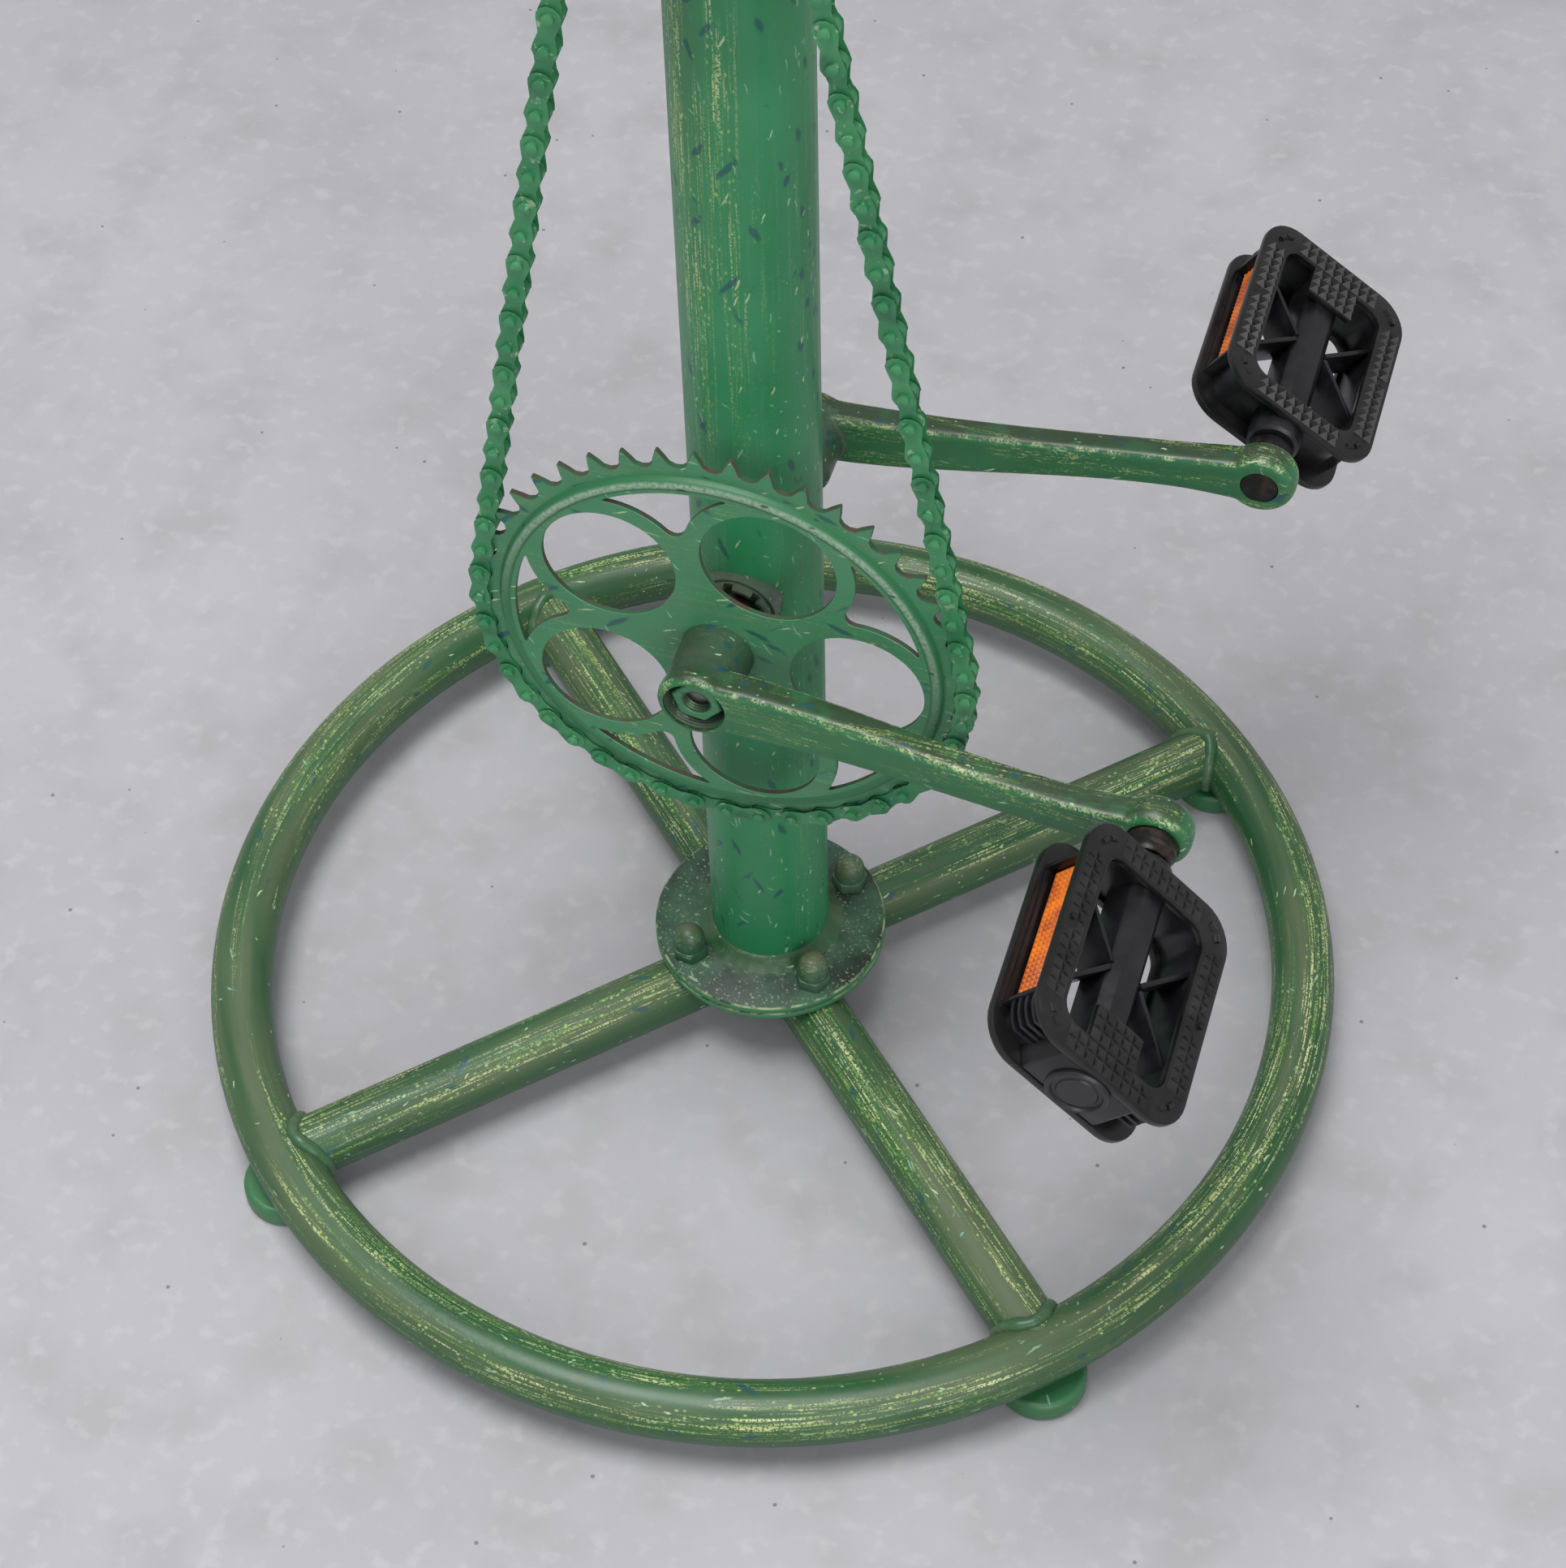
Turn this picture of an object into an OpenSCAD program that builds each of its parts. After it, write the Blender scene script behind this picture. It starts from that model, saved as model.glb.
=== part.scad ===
// Pedal stool on a round tube base: post, chain drive, forward cranks with pedals, sprung saddle.
// Millimetres. Origin on the floor under the post, +Z up, +X where the cranks point.
// The crank axle lies along Y, and the chain runs on the -Y side of the post.

/* [Base] */
// Radius of the ring's centreline
ring_r = 216; // [180:1:260]
// Outside diameter of the ring and spoke tubes
tube_d = 25; // [20:1:32]
// Wall of the ring, spoke and hub tubes
tube_wall = 2; // [1.2:0.1:3]
// Height of a foot pad
foot_h = 10; // [6:1:20]
// Diameter of a foot pad
foot_d = 35; // [28:1:45]
// Outside diameter of the hub that the spokes meet
hub_d = 50; // [46:1:60]
// Radius of the two flange plates
flange_r = 46.5; // [44:0.5:60]
// Thickness of one flange plate
flange_t = 3.5; // [3:0.5:6]
// Diameter of the circle through the flange studs
stud_pcd = 73; // [70:1:80]
// Diameter of a flange stud
stud_d = 8; // [6:1:10]

/* [Post] */
// Outside diameter of the post
post_d = 47; // [39:1:50]
// Wall of the post
post_wall = 2.5; // [2:0.5:4]
// Height of the post's open top above the sprocket's axle
post_above_sprocket = 90; // [80:1:140]

/* [Drive] */
// Height of the crank axle
axle_h = 253; // [240:1:310]
// Pitch of the chain
pitch = 12.7; // [12.7]
// Teeth on the chainring
ring_teeth = 44; // [40, 44, 48]
// Teeth on the upper sprocket
sprocket_teeth = 16; // [16, 20]
// Links in each straight strand, an even number
strand_links = 26; // [22, 24, 26, 28]
// Distance of the chain's middle plane from the post's axis
chain_off = 43.4; // [40:0.2:50]
// Diameter of a chain roller
roller_d = 7.75; // [7.75]
// Diameter of a chain pin
pin_d = 3.6; // [3.2:0.1:3.8]
// Thickness of the chainring
ring_t = 3; // [2:0.1:3]
// Radius of the circle through the chainring's round holes
hole_circle = 50.5; // [48:0.5:54]
// Diameter of each round hole in the chainring
hole_d = 48.6; // [40:0.2:50]
// Outside diameter of the bracket shell that crosses the post
shell_d = 30; // [28:1:34]
// Diameter of the crank axle
axle_d = 15; // [14:0.5:17]

/* [Cranks] */
// Crank length from axle to pedal spindle
crank_l = 165; // [150:5:175]
// Angle of both cranks above level
crank_tilt = 1; // [0:1:10]
// Distance of a crank hub's outer face from the middle
hub_face = 75; // [72:1:85]
// Distance of a crank eye's outer face from the middle
eye_face = 92; // [88:1:100]
// Diameter of a crank hub
crank_hub_d = 28; // [26:1:34]
// Diameter of a crank eye
eye_d = 26; // [24:1:30]
// Thickness of a crank arm
arm_t = 12.5; // [10:0.5:15]
// Diameter of the pedal thread in the crank's eye
thread_d = 14; // [12:0.5:14.5]

/* [Pedals] */
// Length of a pedal along its spindle
pedal_l = 88; // [80:1:110]
// Width of a pedal across its spindle
pedal_w = 68; // [62:1:80]
// Thickness of a pedal
pedal_t = 24; // [22:1:30]
// Gap from the crank's eye to the pedal
pedal_gap = 15; // [12:1:20]
// Forward tilt of the pedal on the chain side
right_tilt = 44; // [0:1:90]
// Forward tilt of the other pedal
left_tilt = 35; // [0:1:90]

/* [Seat] */
// Outside diameter of the sliding seat tube
seat_tube_d = 27.2; // [22:0.2:29]
// Length of the seat tube
seat_tube_l = 100; // [90:1:140]
// Height of the saddle rails above the top of the post
rail_rise = 54; // [50:1:70]
// Distance between the middles of the two rails
rail_gap = 44; // [42:1:50]
// Diameter of a saddle rail
rail_d = 7; // [6:0.5:8]
// Length of the saddle
saddle_l = 265; // [240:1:290]
// Width of the saddle across its back
saddle_w = 205; // [180:1:230]
// Height of the saddle's two back springs
spring_h = 31; // [28:1:45]

/* [Hidden] */
$fn = 64;

fit = 0.05;                 // radial clearance of a shaft in its hole
seat = 0.1;                 // clearance where a curved end is coped to a tube
ring_z = foot_h + tube_d / 2;
flange_z = ring_z + tube_d / 2;
flange_top = flange_z + 2 * flange_t;
spoke_angles = [45, 135, 225, 315];
nut_h = 6.5;
nut_af = 13;
stud_l = 2 * flange_t + 10;

chain_y = -chain_off;
plate_t = 1;
plate_h = 8.4;
plate_waist = 5.8;
inner_gap = 2.2;            // middle of an inner plate from the chain's middle plane
outer_gap = inner_gap + plate_t + 0.1;
pin_l = 9.6;
roller_l = 3.3;
ring_tooth = 2.6;           // chainring tooth tip above its pitch circle
sprocket_tooth = 1.8;       // sprocket tooth tip above its pitch circle
tooth_tip = 0.55;           // half the width of a tooth's tip
ring_slack = 0.3;           // gullet over roller diameter on the chainring
sprocket_slack = 0.9;       // more on the sprocket, so that a roller drops in early

big_step = 360 / ring_teeth;
small_step = 360 / sprocket_teeth;
big_rc = pitch / (2 * sin(big_step / 2));
small_rc = pitch / (2 * sin(small_step / 2));
big_wrap = round(ring_teeth / 4) + 1;
small_wrap = round(sprocket_teeth / 4) - 1;
big_end = [big_rc * sin(big_wrap * big_step), -big_rc * cos(big_wrap * big_step)];
small_end = [small_rc * sin(small_wrap * small_step), small_rc * cos(small_wrap * small_step)];
strand_dz = sqrt(pow(strand_links * pitch, 2) - pow(big_end.x - small_end.x, 2));
sprocket_z = axle_h + big_end.y + strand_dz - small_end.y;
links = 2 * (big_wrap + strand_links + small_wrap);

hole_phase = 67.8;          // angle of the first round hole of the chainring
hole_rim = 76.5;            // outer edge of the openings between the holes
hole_web = 6.5;             // metal left round each hole
ring_bore = 22;

shell_l = post_d + 7;       // bracket shell, through the post
cup_flange = 5;
recess_d = 21;
recess_depth = 9;
axle_l = 2 * (hub_face - recess_depth);
axle_stud_d = 8;
crank_nut_h = 6;
hub_root = chain_off + ring_t / 2;   // inner end of a crank's round hub

eye_in = eye_face - arm_t;
spindle_d = 10;
spindle_collar_d = 18;
pedal_in = eye_face + pedal_gap;
pedal_out = pedal_in + pedal_l;
barrel_d = 20;
plate_edge = 11;            // width of a pedal's tread plate
cage_t = 3;                 // thickness of a tread plate
corner_r = 14;
wall_in = 7;                // how far a pedal's side wall stands in from the edge
wall_t = 2.5;
cap_d = 24;
spindle_x = crank_l * cos(crank_tilt);
spindle_z = axle_h + crank_l * sin(crank_tilt);

boss_d = 24;
sprocket_axle_d = 12;
post_top = sprocket_z + post_above_sprocket;
post_in = post_d - 2 * post_wall;
seat_tube_z = sprocket_z + boss_d / 2 + 4;
bush_l = 60;
collar_h = 22;
rail_z = post_top + rail_rise;
clamp_z = rail_z - 14;      // height of the clamp's cross bolt
cheek_t = 12;
cheek_d = 40;
pan_t = 4;
pan_z = rail_z - 2.5 + spring_h;
spring_r = 14;
spring_wire = 4.5;
spring_x = -saddle_l * 0.3;
spring_y = saddle_w * 0.28;
nose_x = saddle_l * 0.47;
cover_z = pan_z + pan_t + 0.3;

// ---- shared shapes ----
module along_y(from, to, d) {
  translate([0, from, 0]) rotate([-90, 0, 0]) cylinder(h = to - from, d = d);
}
module round_box(l, w, r) {
  union() {
    square([l - 2 * r, w], center = true);
    square([l, w - 2 * r], center = true);
    for (x = [-1, 1], y = [-1, 1]) translate([x * (l / 2 - r), y * (w / 2 - r)]) circle(r = r);
  }
}

// ---- base ----
module base_ring() {
  color("seagreen") translate([0, 0, ring_z]) rotate_extrude() translate([ring_r, 0]) difference() {
    circle(d = tube_d);
    circle(d = tube_d - 2 * tube_wall);
  }
}
module base_hub() {
  color("seagreen") translate([0, 0, foot_h]) difference() {
    cylinder(h = tube_d, d = hub_d);
    translate([0, 0, -1]) cylinder(h = tube_d + 2, d = hub_d - 4 * tube_wall);
  }
}
module spoke(angle) {
  color("seagreen") rotate([0, 0, angle]) translate([0, 0, ring_z]) difference() {
    rotate([0, 90, 0]) difference() {
      cylinder(h = ring_r, d = tube_d - 0.02);
      translate([0, 0, -1]) cylinder(h = ring_r + 2, d = tube_d - 2 * tube_wall);
    }
    translate([0, 0, -tube_d]) cylinder(h = 2 * tube_d, d = hub_d + 2 * seat);
    rotate_extrude() translate([ring_r, 0]) circle(d = tube_d + 2 * seat);
    difference() {
      translate([0, 0, -tube_d]) cylinder(h = 2 * tube_d, r = ring_r + tube_d);
      translate([0, 0, -tube_d - 1]) cylinder(h = 2 * tube_d + 2, r = ring_r - 1);
    }
  }
}
module foot(angle) {
  edge = 2.5;
  color("seagreen") rotate([0, 0, angle]) translate([ring_r, 0, 0]) rotate_extrude() union() {
    square([foot_d / 2 - edge, foot_h]);
    translate([0, edge]) square([foot_d / 2, foot_h - 2 * edge]);
    for (z = [edge, foot_h - edge]) translate([foot_d / 2 - edge, z]) circle(r = edge);
  }
}
module flange(z, centre_d) {
  color("darkslategray") translate([0, 0, z]) difference() {
    cylinder(h = flange_t, r = flange_r);
    translate([0, 0, -1]) cylinder(h = flange_t + 2, d = centre_d);
    for (a = spoke_angles) rotate([0, 0, a]) translate([stud_pcd / 2, 0, -1])
      cylinder(h = flange_t + 2, d = stud_d + 2 * fit);
  }
}
module lower_flange() { flange(flange_z, post_in - 8); }
module upper_flange() { flange(flange_z + flange_t, post_in - 8); }
module flange_studs() {
  color("darkslategray") for (a = spoke_angles) rotate([0, 0, a])
    translate([stud_pcd / 2, 0, flange_z + 0.3]) cylinder(h = stud_l, d = stud_d);
}
module dome_nuts() {
  dome_r = nut_af / 2 - 0.4;
  color("seagreen") for (a = spoke_angles) rotate([0, 0, a]) translate([stud_pcd / 2, 0, flange_top])
    difference() {
      union() {
        cylinder(h = nut_h, d = nut_af / cos(30), $fn = 6);
        translate([0, 0, nut_h]) cylinder(h = 2.5, r = dome_r);
        translate([0, 0, nut_h + 2.5]) sphere(r = dome_r);
      }
      translate([0, 0, -1]) cylinder(h = stud_l - 2 * flange_t + 2, d = stud_d + 2 * fit);
    }
}

// ---- post ----
module post() {
  color("seagreen") difference() {
    translate([0, 0, flange_top]) cylinder(h = post_top - flange_top, d = post_d);
    translate([0, 0, flange_top - 1]) cylinder(h = post_top, d = post_in);
    translate([0, 0, axle_h]) along_y(-post_d, post_d, shell_d + 2 * fit);
    translate([0, 0, sprocket_z]) along_y(-post_d, post_d, boss_d + 2 * fit);
  }
}
module post_weld() {
  bead = 4;
  color("darkslategray") translate([0, 0, flange_top]) rotate_extrude()
    translate([post_d / 2 + fit, 0]) polygon([[0, 0], [bead, 0], [bead * 0.55, bead * 0.6], [0, bead]]);
}

// ---- crank bearing ----
module bracket_shell() {
  color("seagreen") translate([0, 0, axle_h]) difference() {
    along_y(-shell_l / 2, shell_l / 2, shell_d);
    along_y(-shell_l, shell_l, shell_d - 4);
  }
}
// A screwed cup: its body lies inside the shell and its notched flange outside.
module bracket_cup(side) {
  notch = 3;
  color("seagreen") translate([0, 0, axle_h]) mirror([0, side < 0 ? 1 : 0, 0]) difference() {
    union() {
      along_y(shell_l / 2 - 10, shell_l / 2, shell_d - 4 - 2 * fit);
      along_y(shell_l / 2, shell_l / 2 + cup_flange, shell_d - 2);
    }
    along_y(0, shell_l, axle_d + 1);
    for (a = [0:45:315]) rotate([0, a, 0]) translate([shell_d / 2 - 2, shell_l / 2 + 2, -notch / 2])
      cube([3, cup_flange, notch]);
  }
}
module bracket_cup_right() { bracket_cup(-1); }
module bracket_cup_left() { bracket_cup(1); }
module bearing(side) {
  color("silver") translate([0, 0, axle_h]) mirror([0, side < 0 ? 1 : 0, 0]) difference() {
    along_y(shell_l / 2 - 17, shell_l / 2 - 10.1, shell_d - 4 - 2 * fit);
    along_y(0, shell_l, axle_d + 2 * fit);
  }
}
module bearing_right() { bearing(-1); }
module bearing_left() { bearing(1); }

// ---- chain: pins 0 to links / 2 climb the +X side from the bottom to the top ----
function right_pin(i) =
  i <= big_wrap ? [big_rc * sin(i * big_step), axle_h - big_rc * cos(i * big_step)]
  : i <= big_wrap + strand_links ? let (t = (i - big_wrap) / strand_links)
    [big_end.x + t * (small_end.x - big_end.x), axle_h + big_end.y + t * strand_dz]
  : let (k = links / 2 - i) [small_rc * sin(k * small_step), sprocket_z + small_rc * cos(k * small_step)];
function pin_at(i) = i <= links / 2 ? right_pin(i) : let (q = right_pin(links - i)) [-q.x, q.y];
module plate_outline() {
  difference() {
    union() {
      circle(d = plate_h);
      translate([pitch, 0]) circle(d = plate_h);
      translate([0, -plate_waist / 2]) square([pitch, plate_waist]);
    }
    circle(d = pin_d + 2 * fit);
    translate([pitch, 0]) circle(d = pin_d + 2 * fit);
  }
}
module link_plates(i, gap) {
  a = pin_at(i);
  b = pin_at((i + 1) % links);
  for (side = [-1, 1]) translate([a.x, chain_y + side * gap + plate_t / 2, a.y]) rotate([90, 0, 0])
    rotate([0, 0, atan2(b.y - a.y, b.x - a.x)]) linear_extrude(height = plate_t) plate_outline();
}
module chain_outer_plates() {
  color("seagreen") for (i = [0:2:links - 2]) link_plates(i, outer_gap);
}
module chain_inner_plates() {
  color("seagreen") for (i = [1:2:links - 1]) link_plates(i, inner_gap);
}
module chain_rollers() {
  color("seagreen") for (i = [0:links - 1]) translate([pin_at(i).x, chain_y, pin_at(i).y]) difference() {
    along_y(-roller_l / 2, roller_l / 2, roller_d);
    along_y(-roller_l, roller_l, pin_d + 2 * fit);
  }
}
module chain_pins() {
  color("seagreen") for (i = [0:links - 1]) translate([pin_at(i).x, chain_y, pin_at(i).y])
    along_y(-pin_l / 2, pin_l / 2, pin_d);
}

// ---- toothed wheels: a gullet faces straight down when turn is 0 ----
module toothed_outline(teeth, rc, over, slack, turn) {
  gullet_d = roller_d + slack;
  difference() {
    circle(r = rc + over);
    for (i = [0:teeth - 1]) rotate([0, 0, turn - 90 + i * 360 / teeth]) {
      translate([rc, 0]) circle(d = gullet_d);
      polygon([
        [rc, -gullet_d / 2 + 0.1], [rc + 4, -pitch / 2 + tooth_tip],
        [rc + 4, pitch / 2 - tooth_tip], [rc, gullet_d / 2 - 0.1]
      ]);
    }
  }
}
module chainring() {
  color("seagreen") translate([0, chain_y + ring_t / 2, axle_h]) rotate([90, 0, 0])
    linear_extrude(height = ring_t) difference() {
      toothed_outline(ring_teeth, big_rc, ring_tooth, ring_slack, 0);
      circle(d = ring_bore + 2 * fit);
      for (k = [0:4]) rotate([0, 0, hole_phase + 72 * k]) {
        translate([hole_circle, 0]) circle(d = hole_d);
        rotate([0, 0, 36]) intersection() {
          difference() {
            circle(r = hole_rim);
            circle(r = hole_rim - 20);
            for (s = [-36, 36]) rotate([0, 0, s]) translate([hole_circle, 0])
              circle(r = hole_d / 2 + hole_web);
          }
          polygon([[0, 0], [100, -60], [100, 60]]);
        }
      }
    }
}
module upper_sprocket() {
  turn = (sprocket_teeth % 2 == 0) ? 0 : 180 / sprocket_teeth;
  color("seagreen") translate([0, 0, sprocket_z]) difference() {
    union() {
      translate([0, chain_y + ring_t / 2, 0]) rotate([90, 0, 0]) linear_extrude(height = ring_t)
        toothed_outline(sprocket_teeth, small_rc, sprocket_tooth, sprocket_slack, turn);
      along_y(chain_y - 4, chain_y + 6, 32);
    }
    along_y(-2 * chain_off, 0, sprocket_axle_d + 2 * fit);
  }
}
module sprocket_boss() {
  color("seagreen") translate([0, 0, sprocket_z]) difference() {
    along_y(chain_y + 6.3, post_d / 2 + 3, boss_d);
    along_y(-2 * chain_off, post_d, sprocket_axle_d + 2 * fit);
  }
}
module sprocket_axle() {
  color("dimgray") translate([0, 0, sprocket_z]) along_y(chain_y - 12, post_d / 2 + 12, sprocket_axle_d);
}
module sprocket_nuts() {
  color("seagreen") translate([0, 0, sprocket_z]) for (y = [chain_y - 11.3, post_d / 2 + 3.1]) difference() {
    translate([0, y, 0]) rotate([-90, 0, 0]) cylinder(h = 7, d = 19 / cos(30), $fn = 6);
    along_y(y - 1, y + 8, sprocket_axle_d + 2 * fit);
  }
}

// ---- cranks ----
module crank_axle() {
  color("dimgray") translate([0, 0, axle_h]) union() {
    along_y(-axle_l / 2, axle_l / 2, axle_d);
    along_y(-axle_l / 2 - 3, axle_l / 2 + 3, axle_stud_d);
  }
}
function ease(t) = t * t * (3 - 2 * t);
function arm_y(t) = hub_face + (eye_face - hub_face) * ease(t);
// The arm's plan, with its S bend outwards, meets the tapered front outline.
module arm_plan() {
  n = 16;
  polygon(concat(
    [for (i = [0:n]) [crank_l * i / n, arm_y(i / n)]],
    [for (i = [n:-1:0]) [crank_l * i / n, arm_y(i / n) - arm_t]]
  ));
}
module arm_front() {
  polygon([[0, -crank_hub_d * 0.4], [crank_l, -eye_d * 0.37], [crank_l, eye_d * 0.37], [0, crank_hub_d * 0.4]]);
}
module crank(side) {
  color("seagreen") translate([0, 0, axle_h]) mirror([0, side < 0 ? 1 : 0, 0])
    rotate([0, -crank_tilt, 0]) difference() {
      union() {
        intersection() {
          translate([0, 0, -20]) linear_extrude(height = 40) arm_plan();
          translate([0, 200, 0]) rotate([90, 0, 0]) linear_extrude(height = 200) arm_front();
        }
        along_y(hub_root, hub_face, crank_hub_d);
        along_y(hub_root - 5, hub_root + 1, ring_bore);
        translate([crank_l, 0, 0]) along_y(eye_in, eye_face, eye_d);
      }
      along_y(0, hub_face + 5, axle_d + 2 * fit);
      along_y(hub_face - recess_depth, hub_face + 5, recess_d);
      translate([crank_l, 0, 0]) along_y(eye_in - 5, eye_face + 5, thread_d + 2 * fit);
    }
}
module crank_right() { crank(-1); }
module crank_left() { crank(1); }
module crank_nut(side) {
  color("seagreen") translate([0, 0, axle_h]) mirror([0, side < 0 ? 1 : 0, 0]) difference() {
    translate([0, axle_l / 2 + fit, 0]) rotate([-90, 0, 0])
      cylinder(h = crank_nut_h, d = 14 / cos(30), $fn = 6);
    along_y(0, 2 * hub_face, axle_stud_d + 2 * fit);
  }
}
module crank_nut_right() { crank_nut(-1); }
module crank_nut_left() { crank_nut(1); }

// ---- pedals: local +Y runs out along the spindle ----
module on_spindle(side, tilt) {
  translate([spindle_x, 0, spindle_z]) mirror([0, side < 0 ? 1 : 0, 0]) rotate([0, tilt, 0]) children();
}
module pedal_spindle(side) {
  color("black") on_spindle(side, 0) union() {
    along_y(eye_in, eye_face, thread_d);
    along_y(eye_face + 0.3, eye_face + 8, spindle_collar_d);
    along_y(eye_face, pedal_out - 8, spindle_d);
  }
}
module pedal_spindle_right() { pedal_spindle(-1); }
module pedal_spindle_left() { pedal_spindle(1); }
module pedal(side, tilt) {
  half = pedal_l / 2;
  color([0.09, 0.09, 0.09]) on_spindle(side, tilt) difference() {
    union() {
      for (z = [-pedal_t / 2, pedal_t / 2 - cage_t]) translate([0, pedal_in + half, z])
        linear_extrude(height = cage_t) union() {
          difference() {
            round_box(pedal_w, pedal_l, corner_r);
            round_box(pedal_w - 2 * plate_edge, pedal_l - 2 * plate_edge, corner_r - 8);
          }
          translate([-barrel_d / 2, half - plate_edge - 11]) square([barrel_d, 12]);
        }
      translate([0, pedal_in + half, -pedal_t / 2 + 1]) linear_extrude(height = pedal_t - 2) difference() {
        round_box(pedal_w - 2 * wall_in, pedal_l - 2 * wall_in, corner_r - 5);
        round_box(pedal_w - 2 * wall_in - 2 * wall_t, pedal_l - 2 * wall_in - 2 * wall_t, corner_r - 7);
      }
      along_y(pedal_in - 5, pedal_out, barrel_d);
      for (s = [-1, 1], e = [-1, 1]) translate([0, pedal_in + half, -7]) rotate([0, 0, s * 90 + e * 32])
        translate([0, 4, 0]) translate([-0.9, 0, 0]) cube([1.8, pedal_w / 2 - 8, 14]);
    }
    along_y(0, pedal_out - 7, spindle_d + 2 * fit);
    along_y(pedal_out - 7.01, pedal_out + 5, spindle_d + 4);
  }
}
module pedal_right() { pedal(-1, right_tilt); }
module pedal_left() { pedal(1, left_tilt); }
module pedal_cap(side, tilt) {
  color("black") on_spindle(side, tilt) union() {
    along_y(pedal_out + 0.1, pedal_out + 2.5, cap_d);
    along_y(pedal_out - 5, pedal_out + 1, spindle_d + 3.8);
  }
}
module pedal_cap_right() { pedal_cap(-1, right_tilt); }
module pedal_cap_left() { pedal_cap(1, left_tilt); }
module reflectors(side, tilt) {
  lens_l = pedal_l - 34;
  lens_h = pedal_t - 2 * cage_t - 2;
  color("orange") on_spindle(side, tilt) for (s = [-1, 1])
    translate([s * (pedal_w / 2 - wall_in + 1.6) - 1.5, pedal_in + (pedal_l - lens_l) / 2, -lens_h / 2])
      cube([3, lens_l, lens_h]);
}
module reflectors_right() { reflectors(-1, right_tilt); }
module reflectors_left() { reflectors(1, left_tilt); }

// ---- seat ----
module seat_bush() {
  color("black") difference() {
    union() {
      translate([0, 0, post_top - bush_l]) cylinder(h = bush_l, d = post_in - 2 * fit);
      translate([0, 0, post_top]) cylinder(h = 2, d = post_d - 1);
    }
    translate([0, 0, post_top - bush_l - 1]) cylinder(h = bush_l + 5, d = seat_tube_d + 2 * fit);
  }
}
module seat_collar() {
  wall = 5;
  color("seagreen") translate([0, 0, post_top - collar_h - 2]) difference() {
    union() {
      cylinder(h = collar_h, d = post_d + 2 * wall);
      translate([-post_d / 2 - 18, -9, 0]) cube([18, 18, collar_h]);
    }
    translate([0, 0, -1]) cylinder(h = collar_h + 2, d = post_d + 2 * fit);
    translate([-post_d, -1.5, -1]) cube([post_d / 2 + 5, 3, collar_h + 2]);
    translate([-post_d / 2 - 11.5, 0, collar_h / 2]) along_y(-20, 20, 6 + 2 * fit);
  }
}
module collar_bolt() {
  color("silver") translate([-post_d / 2 - 11.5, 0, post_top - collar_h / 2 - 2]) union() {
    along_y(-14, 14, 6);
    along_y(9.1, 14, 12);
    along_y(-14, -9.1, 12);
  }
}
module seat_tube() {
  color("silver") translate([0, 0, seat_tube_z]) difference() {
    cylinder(h = seat_tube_l, d = seat_tube_d);
    translate([0, 0, -1]) cylinder(h = seat_tube_l + 2, d = seat_tube_d - 2 * tube_wall);
  }
}
module saddle_clamp() {
  socket_z = post_top + 12;
  color("silver") difference() {
    union() {
      translate([0, 0, socket_z]) cylinder(h = clamp_z - socket_z, d = seat_tube_d + 8);
      translate([0, 0, clamp_z]) along_y(-rail_gap / 2 + cheek_t / 2 + 0.2, rail_gap / 2 - cheek_t / 2 - 0.2, 26);
    }
    translate([0, 0, socket_z - 1]) cylinder(h = seat_tube_z + seat_tube_l - socket_z + 1.1, d = seat_tube_d + 2 * fit);
    translate([0, 0, clamp_z]) along_y(-40, 40, 8 + 2 * fit);
    for (s = [-1, 1]) translate([0, s * rail_gap / 2, clamp_z])
      along_y(-cheek_t / 2 - 0.2, cheek_t / 2 + 0.2, cheek_d + 0.4);
  }
}
module clamp_cheeks() {
  color("silver") for (s = [-1, 1]) difference() {
    translate([0, s * rail_gap / 2, clamp_z]) along_y(-cheek_t / 2, cheek_t / 2, cheek_d);
    translate([0, 0, clamp_z]) along_y(-60, 60, 8 + 2 * fit);
    translate([-cheek_d, s * rail_gap / 2, rail_z]) rotate([0, 90, 0])
      cylinder(h = 2 * cheek_d, d = rail_d + 2 * fit);
  }
}
module clamp_bolt() {
  end = rail_gap / 2 + cheek_t / 2;
  color("silver") translate([0, 0, clamp_z]) union() {
    along_y(-end - 8, end + 8, 8);
    for (y = [-end - 6.6, end + 0.1]) translate([0, y, 0]) rotate([-90, 0, 0])
      cylinder(h = 6.5, d = nut_af / cos(30), $fn = 6);
  }
}
module rod(a, b, d) {
  v = b - a;
  h = norm(v);
  translate(a) rotate([0, acos(v.z / h), atan2(v.y, v.x)]) cylinder(h = h, d = d);
}
// Each rail runs from the nose, straight through its clamp cheek, and out to its spring.
function rail_points(s) = [
  [nose_x - 14, s * 9, pan_z - rail_d / 2 - 0.3],
  [nose_x - 50, s * rail_gap / 2, rail_z],
  [-38, s * rail_gap / 2, rail_z],
  [spring_x, s * spring_y, rail_z - 6]
];
module saddle_rails() {
  color("silver") for (s = [-1, 1]) union() {
    q = rail_points(s);
    for (i = [0:2]) rod(q[i], q[i + 1], rail_d);
    for (i = [0:3]) translate(q[i]) sphere(d = rail_d + 0.4);
    translate([q[3].x, q[3].y, rail_z - 2.6]) cylinder(h = 2, r = spring_r + 3);
  }
}
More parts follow.
